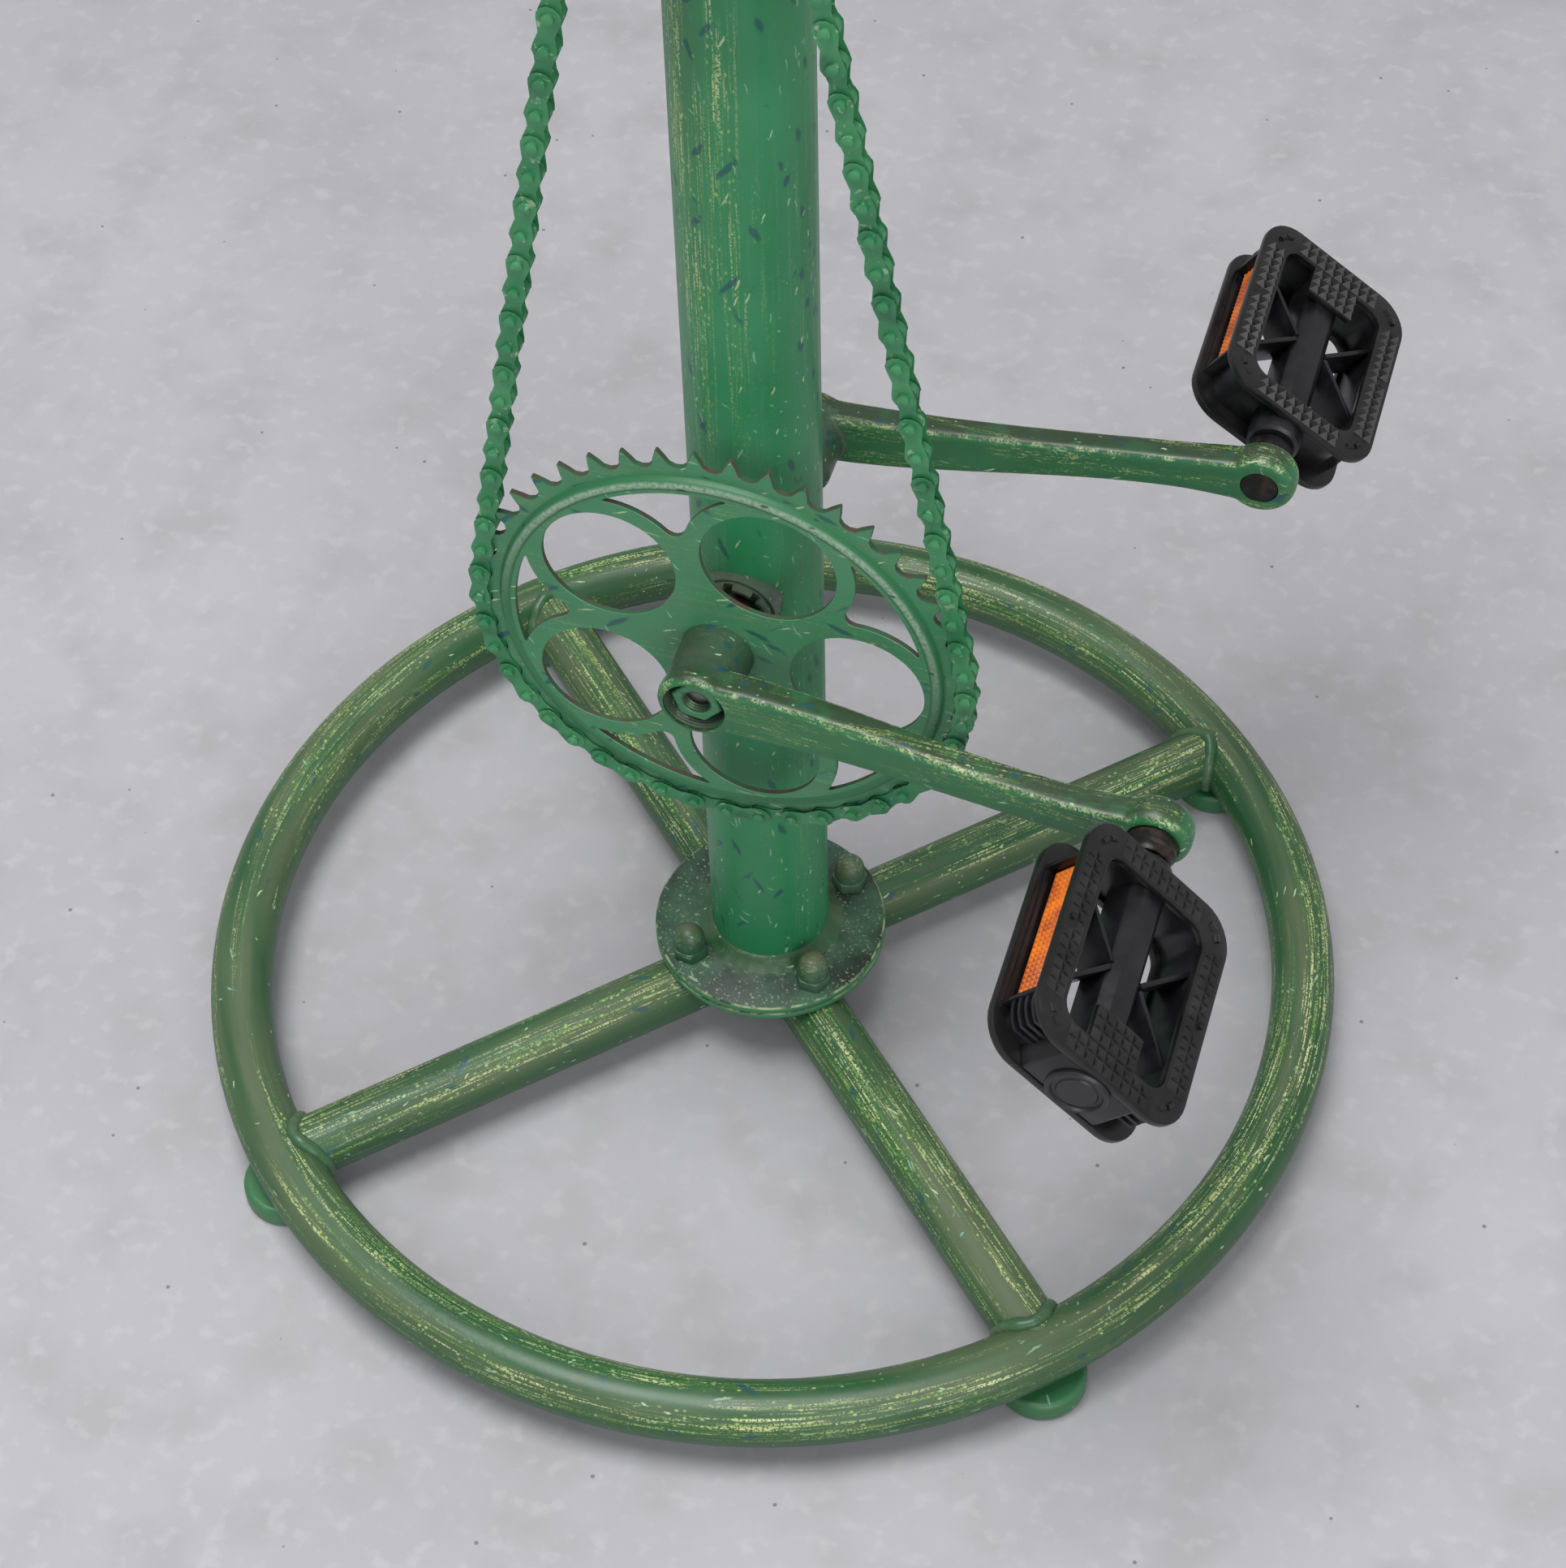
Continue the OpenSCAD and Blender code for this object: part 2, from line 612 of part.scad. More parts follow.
// One coil spring as a swept wire.
module coil(r, wire, height, turns) {
  sides = 8;
  per_turn = 20;
  n = turns * per_turn;
  function ring(i) = [for (k = [0:sides - 1]) let (
      a = 360 * i / per_turn, p = 360 * k / sides, q = r + wire / 2 * cos(p),
      z = wire / 2 + (height - wire) * i / n + wire / 2 * sin(p)
    ) [q * cos(a), q * sin(a), z]];
  polyhedron(
    points = [for (i = [0:n]) each ring(i)],
    faces = concat(
      [[for (k = [0:sides - 1]) k]],
      [for (i = [0:n - 1], k = [0:sides - 1]) let (j = (k + 1) % sides)
        [i * sides + j, i * sides + k, (i + 1) * sides + k, (i + 1) * sides + j]],
      [[for (k = [sides - 1:-1:0]) n * sides + k]]
    )
  );
}
module saddle_springs() {
  color("silver") for (s = [-1, 1]) translate([spring_x, s * spring_y, rail_z - 0.4])
    coil(spring_r, spring_wire, pan_z - rail_z + 0.2, 3);
}
module saddle_plan(inset) {
  back_x = -saddle_l * 0.53;
  union() {
    hull() {
      for (s = [-1, 1]) translate([back_x + 55, s * (saddle_w / 2 - 50)]) circle(r = 50 - inset, $fn = 32);
      translate([saddle_l * 0.02, 0]) circle(r = 34 - inset, $fn = 32);
    }
    hull() {
      translate([-20, 0]) circle(r = 42 - inset, $fn = 32);
      translate([nose_x - 22, 0]) circle(r = 22 - inset, $fn = 32);
    }
  }
}
module saddle_pan() {
  color("dimgray") translate([0, 0, pan_z]) linear_extrude(height = pan_t) saddle_plan(8);
}
module saddle_cover() {
  color("saddlebrown") translate([0, 0, cover_z]) union() {
    linear_extrude(height = 14) saddle_plan(0);
    translate([0, 0, 13.9]) linear_extrude(height = 10) saddle_plan(5);
    translate([0, 0, 23.8]) linear_extrude(height = 8) saddle_plan(13);
  }
}

base_ring();
base_hub();
spoke(spoke_angles[0]);  // spoke_1
spoke(spoke_angles[1]);  // spoke_2
spoke(spoke_angles[2]);  // spoke_3
spoke(spoke_angles[3]);  // spoke_4
foot(spoke_angles[0]);  // foot_1
foot(spoke_angles[1]);  // foot_2
foot(spoke_angles[2]);  // foot_3
foot(spoke_angles[3]);  // foot_4
lower_flange();
upper_flange();
flange_studs();
dome_nuts();
post();
post_weld();
bracket_shell();
bracket_cup_right();
bracket_cup_left();
bearing_right();
bearing_left();
chain_outer_plates();
chain_inner_plates();
chain_rollers();
chain_pins();
sprocket_boss();
sprocket_axle();
sprocket_nuts();
upper_sprocket();
crank_axle();
chainring();
crank_right();
crank_left();
crank_nut_right();
crank_nut_left();
pedal_spindle_right();
pedal_right();
pedal_cap_right();
reflectors_right();
pedal_spindle_left();
pedal_left();
pedal_cap_left();
reflectors_left();
seat_bush();
seat_collar();
collar_bolt();
seat_tube();
saddle_clamp();
clamp_cheeks();
clamp_bolt();
saddle_rails();
saddle_springs();
saddle_pan();
saddle_cover();
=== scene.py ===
"""A pedal stool: ring base and post, chain drive, forward cranks with resin pedals, sprung saddle."""
import math

import bmesh
import bpy
from mathutils import Matrix, Vector


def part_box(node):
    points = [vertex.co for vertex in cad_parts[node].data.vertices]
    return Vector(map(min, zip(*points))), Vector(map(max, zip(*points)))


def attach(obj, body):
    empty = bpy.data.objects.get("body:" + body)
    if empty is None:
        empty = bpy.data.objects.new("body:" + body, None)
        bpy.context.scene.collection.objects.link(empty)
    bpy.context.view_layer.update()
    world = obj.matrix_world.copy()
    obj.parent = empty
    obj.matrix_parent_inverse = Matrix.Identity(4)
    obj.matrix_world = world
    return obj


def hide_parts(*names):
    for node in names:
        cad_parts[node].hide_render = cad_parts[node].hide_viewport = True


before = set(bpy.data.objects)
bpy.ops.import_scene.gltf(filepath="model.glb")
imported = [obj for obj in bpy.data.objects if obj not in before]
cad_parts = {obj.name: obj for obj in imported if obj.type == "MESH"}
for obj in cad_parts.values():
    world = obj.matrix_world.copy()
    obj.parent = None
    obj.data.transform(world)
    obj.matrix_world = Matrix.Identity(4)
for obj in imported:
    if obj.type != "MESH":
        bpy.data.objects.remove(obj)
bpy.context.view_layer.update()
mm = 0.001

# ---- Studio ----
# A pale sealed concrete floor, a broad soft light from above left, and a camera that looks
# down on the drive side.


def colour(red, green, blue):
    """A paint sample given in 0 to 255 steps, as the shader wants it."""
    return tuple(((c / 255 + 0.055) / 1.055) ** 2.4 for c in (red, green, blue)) + (1.0,)


def add(tree, kind, sockets=None, **settings):
    """Adds one shader node. A socket takes a value or another node's output."""
    node = tree.nodes.new("ShaderNode" + kind)
    for key, value in settings.items():
        setattr(node, key, value)
    for key, value in (sockets or {}).items():
        if isinstance(value, bpy.types.NodeSocket):
            tree.links.new(value, node.inputs[key])
        else:
            node.inputs[key].default_value = value
    return node.outputs


def calc(tree, operation, *values):
    """One sum on the values of a finish."""
    return add(tree, "Math", dict(enumerate(values)), operation=operation)[0]


def product(tree, *values):
    """All the values multiplied together."""
    result = values[0]
    for value in values[1:]:
        result = calc(tree, "MULTIPLY", result, value)
    return result


def axes(tree, place):
    """The three parts of a place, along X, Y and Z."""
    return add(tree, "SeparateXYZ", {0: place})


def band(tree, value, low, high):
    """0 at low and 1 at high, and level beyond them."""
    return add(tree, "MapRange", {0: value, 1: low, 2: high})[0]


def lay(tree, share, under, top):
    """Lays one tone over another. Each is a paint sample or another node's output."""
    under, top = [colour(*tone) if isinstance(tone, tuple) else tone for tone in (under, top)]
    return add(tree, "Mix", {0: share, 6: under, 7: top}, data_type="RGBA")[2]


def cloud(tree, place, size, detail=3.0):
    """Soft blotches about as wide as size, in metres."""
    return add(tree, "TexNoise", {"Vector": place, "Scale": 1 / size, "Detail": detail})[0]


def patches(tree, place, size, detail, low, high):
    """Soft patches: 0 where the blotches are below low, 1 where they are above high."""
    return band(tree, cloud(tree, place, size, detail), low, high)


def new_finish(name):
    """A material with its node tree, its shader and the piece's own coordinates."""
    material = bpy.data.materials.new(name)
    material.use_nodes = True
    tree = material.node_tree
    return material, tree, tree.nodes["Principled BSDF"], add(tree, "TexCoord")["Object"]


def coat(tree, shader, tone, share, change, rough):
    """Gives a shader its colour, and its roughness, which changes over a share of the surface."""
    tree.links.new(tone, shader.inputs["Base Color"])
    tree.links.new(calc(tree, "MULTIPLY_ADD", share, change, rough), shader.inputs["Roughness"])


def raise_grain(tree, shader, height, strength, depth):
    """Makes a fine relief that only the light sees."""
    bump = add(tree, "Bump", {"Strength": strength, "Distance": depth, "Height": height})[0]
    tree.links.new(bump, shader.inputs["Normal"])


def concrete():
    """Pale sealed concrete with smears, pits and specks."""
    material, tree, shader, place = new_finish("concrete")
    blotch = patches(tree, place, 0.20, 8.0, 0.34, 0.68)
    tone = lay(tree, blotch, (167, 166, 170), (176, 175, 179))
    smear = patches(tree, place, 0.04, 8.0, 0.48, 0.70)
    tone = lay(tree, product(tree, smear, 0.6), tone, (157, 155, 157))
    pale = patches(tree, place, 0.009, 9.0, 0.54, 0.68)
    tone = lay(tree, product(tree, pale, 0.4), tone, (187, 186, 189))
    pits = add(tree, "TexVoronoi", {"Vector": place, "Scale": 60})
    few = calc(tree, "LESS_THAN", add(tree, "SeparateColor", {0: pits["Color"]})[0], 0.34)
    speck = product(tree, band(tree, pits["Distance"], 0.062, 0.04), few)
    tone = lay(tree, product(tree, speck, 0.75), tone, (96, 92, 92))
    tree.links.new(tone, shader.inputs["Base Color"])
    shader.inputs["Roughness"].default_value = 0.62
    raise_grain(tree, shader, cloud(tree, place, 0.02, 8.0), 0.12, 0.002)
    return material


def make_object(bm, name):
    """Turns a finished bmesh into an object in the scene."""
    mesh = bpy.data.meshes.new(name)
    bm.to_mesh(mesh)
    bm.free()
    made = bpy.data.objects.new(name, mesh)
    bpy.context.scene.collection.objects.link(made)
    return made


slab = bmesh.new()
bmesh.ops.create_grid(slab, x_segments=1, y_segments=1, size=40.0)
floor = make_object(slab, "floor")
floor.data.materials.append(concrete())


def soft_light(name, place, aim, size, power):
    """A round soft lamp that looks at one point."""
    lamp = bpy.data.lights.new(name, "AREA")
    lamp.shape = "DISK"
    lamp.size = size
    lamp.energy = power
    holder = bpy.data.objects.new(name, lamp)
    holder.location = place
    holder.rotation_euler = (Vector(aim) - Vector(place)).to_track_quat("-Z", "Y").to_euler()
    holder.visible_camera = False
    bpy.context.scene.collection.objects.link(holder)


stool_middle = (0, 0, 0.3)
soft_light("overhead", (-0.35, -0.35, 3.0), stool_middle, 1.7, 76)
soft_light("front_fill", (1.4, -2.3, 1.5), stool_middle, 1.6, 26)
world = bpy.data.worlds.new("studio")
bpy.context.scene.world = world
world.use_nodes = True
world.node_tree.nodes["Background"].inputs["Color"].default_value = (0.97, 0.98, 1.0, 1)
world.node_tree.nodes["Background"].inputs["Strength"].default_value = 0.44
bpy.context.scene.view_settings.view_transform = "Standard"


def shift(x, y, z):
    """Moves a part by so much along each axis."""
    return Matrix.Translation((x, y, z))


view_from = (0.270996, -0.802960, 1.144927)
view_turn = math.radians(18.2033)
view_drop = math.radians(50.2678)
view_roll = math.radians(-1.6463)
back = Vector((math.sin(view_turn) * math.cos(view_drop), -math.cos(view_turn) * math.cos(view_drop),
               math.sin(view_drop)))
right = Vector((math.cos(view_turn), math.sin(view_turn), 0))
up = back.cross(right)
lens = bpy.data.cameras.new("camera")
lens.lens = 78.86
lens.sensor_width = 36
lens.clip_start = 0.05
camera = bpy.data.objects.new("camera", lens)
bpy.context.scene.collection.objects.link(camera)
across = math.cos(view_roll) * right + math.sin(view_roll) * up
upward = -math.sin(view_roll) * right + math.cos(view_roll) * up
camera.matrix_world = shift(*view_from) @ Matrix((across, upward, back)).transposed().to_4x4()
bpy.context.scene.camera = camera

# ---- Base ring, spokes, hub and feet ----
# Round steel tube bent to a hoop, with four spokes coped to it and welded to a short hub tube.
# It is sprayed green, rubbed back along the crests and toned with a dusty brown glaze.


def finish_node(node, material):
    """Gives a carried-over solid its finish."""
    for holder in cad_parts[node].material_slots:
        holder.material = material


def finish_piece(bm, name, body, materials, hides=(), sharp=32):
    """Closes up a bmesh, makes its object and lets it ride on a body."""
    bmesh.ops.remove_doubles(bm, verts=bm.verts, dist=0.002 * mm)
    bmesh.ops.recalc_face_normals(bm, faces=bm.faces)
    piece = make_object(bm, name)
    piece.data.shade_smooth()
    piece.data.set_sharp_from_angle(angle=math.radians(sharp))
    for material in materials:
        piece.data.materials.append(material)
    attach(piece, body)
    if hides:
        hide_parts(*hides)
    return piece


def streaks(tree, flow, length, width, low, high, seed):
    """Fine lines that run along the first axis of flow."""
    drawn = add(tree, "Mapping", {"Vector": flow, "Location": (seed, 2 * seed, 3 * seed),
                                  "Scale": (1 / length, 1 / width, 1 / width)})[0]
    return band(tree, add(tree, "TexNoise", {"Vector": drawn, "Scale": 1, "Detail": 2})[0], low, high)


def dashes(tree, flow, angle, spacing, thick, share, seed, slim=0.28):
    """Strokes at one angle to the flow, in a share of the cells of a scattered grid."""
    turned_flow = add(tree, "Mapping", {"Vector": flow, "Rotation": (0, 0, math.radians(angle))})[0]
    drawn = add(tree, "Mapping", {"Vector": turned_flow, "Location": (seed, 3 * seed, 5 * seed),
                                  "Scale": (slim / spacing, 1 / spacing, 1 / spacing)})[0]
    cells = add(tree, "TexVoronoi", {"Vector": drawn, "Scale": 1})
    stroke = band(tree, cells["Distance"], thick, thick * 0.6)
    pick = add(tree, "SeparateColor", {0: cells["Color"]})[0]
    return product(tree, stroke, calc(tree, "LESS_THAN", pick, share))


def enamel(name, flow_of, crest_of=None, edge_of=None, top_of=None, wear=1.0, glaze=1.0, marks=1.0,
           deep=(38, 104, 62), light=(54, 118, 74)):
    """Green enamel. flow_of gives the lengthwise coordinates, crest_of where hands have rubbed,
    edge_of which edges are worn bare and top_of where the dark glaze was left to stand."""
    material, tree, shader, place = new_finish(name)
    flow = flow_of(tree, place)
    crest = crest_of(tree, place) if crest_of else 0.35
    wander = add(tree, "TexNoise", {"Vector": place, "Scale": 300, "Detail": 2})["Color"]
    shaky = add(tree, "VectorMath", {0: wander, 1: (1.6 * mm, 1.6 * mm, 1.6 * mm), 2: flow},
                operation="MULTIPLY_ADD")[0]
    blotch = patches(tree, place, 0.055, 4.0, 0.38, 0.66)
    tone = lay(tree, blotch, deep, light)
    haze = product(tree, streaks(tree, flow, 0.14, 0.012, 0.42, 0.62, 1.7), crest)
    tone = lay(tree, product(tree, haze, 0.62 * glaze), tone, (106, 110, 82))
    grime = patches(tree, place, 0.004, 3.0, 0.50, 0.66)
    drift = streaks(tree, flow, 0.09, 0.016, 0.50, 0.66, 6.1)
    tone = lay(tree, product(tree, grime, drift, crest, 0.5 * glaze), tone, (82, 78, 58))
    if top_of:
        stood = patches(tree, place, 0.01, 5.0, 0.2, 0.5)
        tone = lay(tree, product(tree, top_of(tree, place), stood, 0.85), tone, (44, 56, 34))
    dots = patches(tree, place, 0.0008, 1.0, 0.40, 0.56)
    bunch = streaks(tree, flow, 0.17, 0.008, 0.45, 0.60, 4.9)
    rub = product(tree, bunch, crest, wear)
    for length, width, seed, strength, shade in (
            (0.16, 0.0032, 8.7, 0.60, (84, 142, 58)),
            (0.07, 0.0011, 3.1, 0.75, (142, 176, 88)),
            (0.03, 0.0008, 5.3, 0.90, (210, 214, 156))):
        line = streaks(tree, flow, length, width, 0.54, 0.64, seed)
        tone = lay(tree, product(tree, line, rub, dots, strength), tone, shade)
    spark = dashes(tree, flow, 0, 0.0019, 0.30, 0.45, 9.3, 0.6)
    spark = product(tree, spark, band(tree, bunch, 0.0, 0.6), crest, 0.7 * wear)
    tone = lay(tree, spark, tone, (168, 198, 116))
    rubbed = calc(tree, "ADD", product(tree, crest, 0.8), 0.2)
    for angle, spacing, thick, share, slim, shade, strength in (
            (3, 0.008, 0.06, 0.40, 0.05, (196, 204, 140), 0.75),
            (-5, 0.009, 0.05, 0.34, 0.04, (178, 200, 138), 0.75)):
        scratch = dashes(tree, flow, angle, spacing, thick, share * wear, angle * 1.7, slim)
        tone = lay(tree, product(tree, scratch, dots, rubbed, strength), tone, shade)
    for angle, spacing, thick, share, slim, shade, strength in (
            (24, 0.0060, 0.24, 0.20, 0.24, (18, 78, 80), 0.75),
            (-38, 0.0070, 0.20, 0.24, 0.20, (16, 72, 88), 0.75),
            (10, 0.0034, 0.145, 0.34, 0.12, (140, 186, 146), 0.65),
            (-22, 0.0036, 0.125, 0.40, 0.12, (182, 208, 166), 0.8),
            (58, 0.0040, 0.12, 0.40, 0.12, (140, 190, 170), 0.65)):
        stroke = dashes(tree, shaky, angle, spacing, thick, share * marks, angle * 0.37, slim)
        tone = lay(tree, product(tree, stroke, strength), tone, shade)
    if edge_of:
        patchy = patches(tree, flow, 0.004, 5.0, 0.42, 0.60)
        tone = lay(tree, product(tree, edge_of(tree, place), patchy, dots, 0.9), tone, (174, 188, 136))
    tree.links.new(tone, shader.inputs["Base Color"])
    gloss = calc(tree, "MULTIPLY_ADD", haze, 0.12, calc(tree, "MULTIPLY_ADD", blotch, 0.06, 0.37))
    tree.links.new(gloss, shader.inputs["Roughness"])
    shader.inputs["Specular IOR Level"].default_value = 0.6
    height = calc(tree, "ADD", cloud(tree, place, 0.003, 3.0), product(tree, rub, dots, -0.3))
    raise_grain(tree, shader, height, 0.2, 0.4 * mm)
    return material


ring_low, ring_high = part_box("base_ring")
ring_z = (ring_low.z + ring_high.z) / 2
tube_r = (ring_high.z - ring_low.z) / 2
ring_r = ring_high.x - tube_r


def round_flow(tree, place):
    """Distance round the hoop, from a start that lies behind the drive."""
    spun = add(tree, "Mapping", {"Vector": place, "Rotation": (0, 0, math.radians(45))})[0]
    x, y, z = axes(tree, spun)
    angle = product(tree, calc(tree, "ARCTAN2", y, x), ring_r)
    radius = add(tree, "VectorMath", {0: spun}, operation="LENGTH")["Value"]
    return add(tree, "CombineXYZ", {0: angle, 1: radius, 2: z})[0]


def tube_top(tree, place):
    """The upper side of the base tubes."""
    z = axes(tree, place)[2]
    return band(tree, z, ring_z - 0.1 * tube_r, ring_z + 0.75 * tube_r)


ring_finish = enamel("ring_enamel", round_flow, tube_top, glaze=0.75, marks=0.8, deep=(26, 77, 40),
                     light=(44, 90, 51))
finish_node("base_ring", ring_finish)
spoke_angles = (45, 135, 225, 315)
for number, angle in enumerate(spoke_angles, 1):
    def spoke_flow(tree, place, angle=angle):
        return add(tree, "Mapping", {"Vector": place, "Rotation": (0, 0, math.radians(-angle)),
                                     "Location": (0, 0, 0.31 * angle)})[0]
    finish_node(f"spoke_{number}", enamel(f"spoke_enamel_{number}", spoke_flow, tube_top, glaze=0.8,
                                          deep=(26, 75, 40), light=(42, 88, 50)))


def plain_flow(tree, place):
    """No direction of its own."""
    return place


plain_enamel = enamel("plain_enamel", plain_flow, wear=0.15, glaze=0.5, marks=0.5)
finish_node("base_hub", plain_enamel)
for number in (1, 2, 3, 4):
    finish_node(f"foot_{number}", plain_enamel)

# ---- Weld beads ----
# A bead of weld runs round both ends of each spoke, brushed off and painted over, so it reads as
# a soft uneven lip between the tubes.


def tube(points, thick, closed=False, sides=10):
    """A round bar along a line of points; a point may carry a share of the thickness."""
    line = bpy.data.curves.new("bar", "CURVE")
    line.dimensions = "3D"
    line.bevel_depth = thick / 2
    line.bevel_resolution = max(0, sides // 2 - 2)
    line.use_fill_caps = not closed
    strip = line.splines.new("POLY")
    strip.points.add(len(points) - 1)
    for point, spot in zip(strip.points, points):
        point.co = (*spot[:3], 1)
        point.radius = spot[3] if len(spot) > 3 else 1
    strip.use_cyclic_u = closed
    holder = bpy.data.objects.new("bar", line)
    mesh = bpy.data.meshes.new_from_object(holder)
    bm = bmesh.new()
    bm.from_mesh(mesh)
    bpy.data.objects.remove(holder)
    bpy.data.meshes.remove(mesh)
    return bm


def put(bm, part, place=Matrix(), keep=False):
    """Adds a part to a piece, at its place."""
    mesh = bpy.data.meshes.new("part")
    part.to_mesh(mesh)
    mesh.transform(place)
    bm.from_mesh(mesh)
    bpy.data.meshes.remove(mesh)
    if not keep:
        part.free()


def swing(degrees, axis):
    """Turns a part about the X, Y or Z axis."""
    return Matrix.Rotation(math.radians(degrees), 4, axis)


def lumps(angle, seed):
    """Uneven thickness of hand-laid weld, round about 1."""
    return 1 + 0.07 * math.sin(5 * angle + seed) + 0.05 * math.sin(13 * angle + 2 * seed)


weld_finish = enamel("weld_enamel", plain_flow, wear=0.3, glaze=1.4, marks=0.6, deep=(36, 84, 50),
                     light=(58, 100, 66))
hub_r = (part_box("base_hub")[1].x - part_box("base_hub")[0].x) / 2
bead_steps = 72
bead_d = 5.6 * mm
bead_sink = 0.95
welds = bmesh.new()
for spoke, angle in enumerate(spoke_angles):
    spin = swing(angle, "Z")
    for outer in (True, False):
        line = []
        for step in range(bead_steps):
            turn = 2 * math.pi * step / bead_steps
            side = bead_sink * tube_r * math.cos(turn)
            rise = bead_sink * tube_r * math.sin(turn)
            if outer:
                reach = ring_r - math.sqrt((1.07 * tube_r) ** 2 - rise ** 2)
            else:
                reach = hub_r
            line.append((math.sqrt(reach ** 2 - side ** 2), side, ring_z + rise, lumps(turn, spoke)))
        put(welds, tube(line, bead_d, closed=True), spin)
finish_piece(welds, "spoke_welds", "stand", [weld_finish], sharp=60)

# ---- Flange plates, studs and dome nuts ----
# Two round plates, one on the base and one on the post, are held face to face by four studs with
# dome nuts. The top one is toned almost black-green, and its rim is rubbed bright.


def turned(profile, steps=64, closed=True):
    """A lathe-turned part round Z, from radius and height pairs."""
    bm = bmesh.new()
    verts = [bm.verts.new((r, 0, h)) for r, h in profile]
    edges = [bm.edges.new(pair) for pair in zip(verts, verts[1:])]
    if closed:
        edges.append(bm.edges.new((verts[-1], verts[0])))
    bmesh.ops.spin(bm, geom=verts + edges, cent=(0, 0, 0), axis=(0, 0, 1), angle=2 * math.pi,
                   steps=steps, use_merge=True)
    bmesh.ops.remove_doubles(bm, verts=bm.verts, dist=0.001 * mm)
    return bm


def radius_of(tree, across, along):
    """How far a place lies from an axis."""
    squares = calc(tree, "ADD", product(tree, across, across), product(tree, along, along))
    return calc(tree, "SQRT", squares)


def toned_steel(name, worn_r):
    """Dark mottled glaze over green, with a pale rim at worn_r from the post's axis."""
    material, tree, shader, place = new_finish(name)
    x, y = axes(tree, place)[:2]
    radius = radius_of(tree, x, y)
    mottle = patches(tree, place, 0.018, 6.0, 0.36, 0.66)
    tone = lay(tree, mottle, (32, 46, 36), (60, 100, 74))
    fleck = patches(tree, place, 0.0013, 2.0, 0.61, 0.68)
    tone = lay(tree, product(tree, fleck, 0.75), tone, (140, 164, 132))
    near_post = band(tree, radius, worn_r * 0.82, worn_r * 0.52)
    dusty = patches(tree, place, 0.008, 6.0, 0.42, 0.62)
    tone = lay(tree, product(tree, near_post, dusty, 0.5), tone, (118, 142, 120))
    chips = dashes(tree, place, 20, 0.006, 0.13, 0.3, 2.3)
    tone = lay(tree, product(tree, chips, 0.7), tone, (150, 176, 140))
    side = band(tree, radius, worn_r - 0.35 * mm, worn_r - 0.05 * mm)
    tone = lay(tree, side, tone, (58, 122, 80))
    rim = product(tree, band(tree, radius, worn_r - 1.0 * mm, worn_r - 0.5 * mm),
                  band(tree, radius, worn_r - 0.05 * mm, worn_r - 0.3 * mm))
    patchy = patches(tree, place, 0.006, 5.0, 0.44, 0.62)
    tone = lay(tree, product(tree, rim, patchy, 0.85), tone, (176, 190, 140))
    coat(tree, shader, tone, mottle, 0.12, 0.46)
    raise_grain(tree, shader, cloud(tree, place, 0.003, 4.0), 0.3, 0.4 * mm)
    return material


flange_low, flange_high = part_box("upper_flange")
flange_r = flange_high.x
flange_t = flange_high.z - flange_low.z
flange_bore = 17 * mm
flange_edge = 0.8 * mm
flange_finish = toned_steel("toned_flange", flange_r)
for name, bottom in (("lower_flange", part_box("lower_flange")[0].z), ("upper_flange", flange_low.z)):
    plate = turned([
        (flange_bore, bottom), (flange_r - flange_edge, bottom), (flange_r, bottom + flange_edge),
        (flange_r, bottom + flange_t - flange_edge), (flange_r - flange_edge, bottom + flange_t),
        (flange_bore, bottom + flange_t)], steps=128)
    finish_piece(plate, name + "_plate", "stand", [flange_finish], [name], sharp=50)
finish_node("flange_studs", flange_finish)

nut_low, nut_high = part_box("dome_nuts")
nut_top = nut_high.z - nut_low.z
hex_h = 5.2 * mm
hex_r = 7.4 * mm
dome_r = 6.1 * mm
stud_circle = 36.5 * mm


def soften(bm, edges, offset, segments):
    """Rounds over some edges of a part."""
    bmesh.ops.bevel(bm, geom=edges, offset=offset, affect="EDGES", segments=segments, profile=0.5,
                    material=-1)


def dome_nut():
    """A hexagon with softened edges under a tall round dome."""
    nut = bmesh.new()
    bmesh.ops.create_cone(nut, cap_ends=True, segments=6, radius1=hex_r, radius2=hex_r, depth=hex_h,
                          matrix=shift(0, 0, hex_h / 2))
    soften(nut, nut.edges[:], 0.7 * mm, 2)
    dome_steps = 8
    bottom = hex_h - 0.5 * mm
    shoulder = nut_top - dome_r
    dome = [(0, bottom), (dome_r, bottom)]
    for step in range(dome_steps + 1):
        angle = math.pi / 2 * step / dome_steps
        dome.append((dome_r * math.cos(angle), shoulder + dome_r * math.sin(angle)))
    put(nut, turned(dome, steps=32, closed=False))
    return nut


def nut_finish():
    """Green enamel with the crown of each dome rubbed and dusty."""
    def crown(tree, place):
        return band(tree, axes(tree, place)[2], nut_low.z + 6 * mm, nut_high.z)
    return enamel("nut_enamel", plain_flow, crown, wear=0.5, glaze=1.3, marks=0.6, deep=(40, 84, 56),
                  light=(82, 110, 88))


nuts = bmesh.new()
for angle, twist in zip(spoke_angles, (5, 21, 38, 12)):
    put(nuts, dome_nut(), swing(angle, "Z") @ shift(stud_circle, 0, nut_low.z) @ swing(twist, "Z"))
finish_piece(nuts, "flange_nuts", "stand", [nut_finish()], ["dome_nuts"], sharp=40)

# ---- Post ----
# A length of heavy round tube, welded to the upper flange with an uneven bead. The paint is
# rubbed in long upright strokes at hand height and flecked all over.

post_r = (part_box("post")[1].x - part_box("post")[0].x) / 2
post_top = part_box("post")[1].z


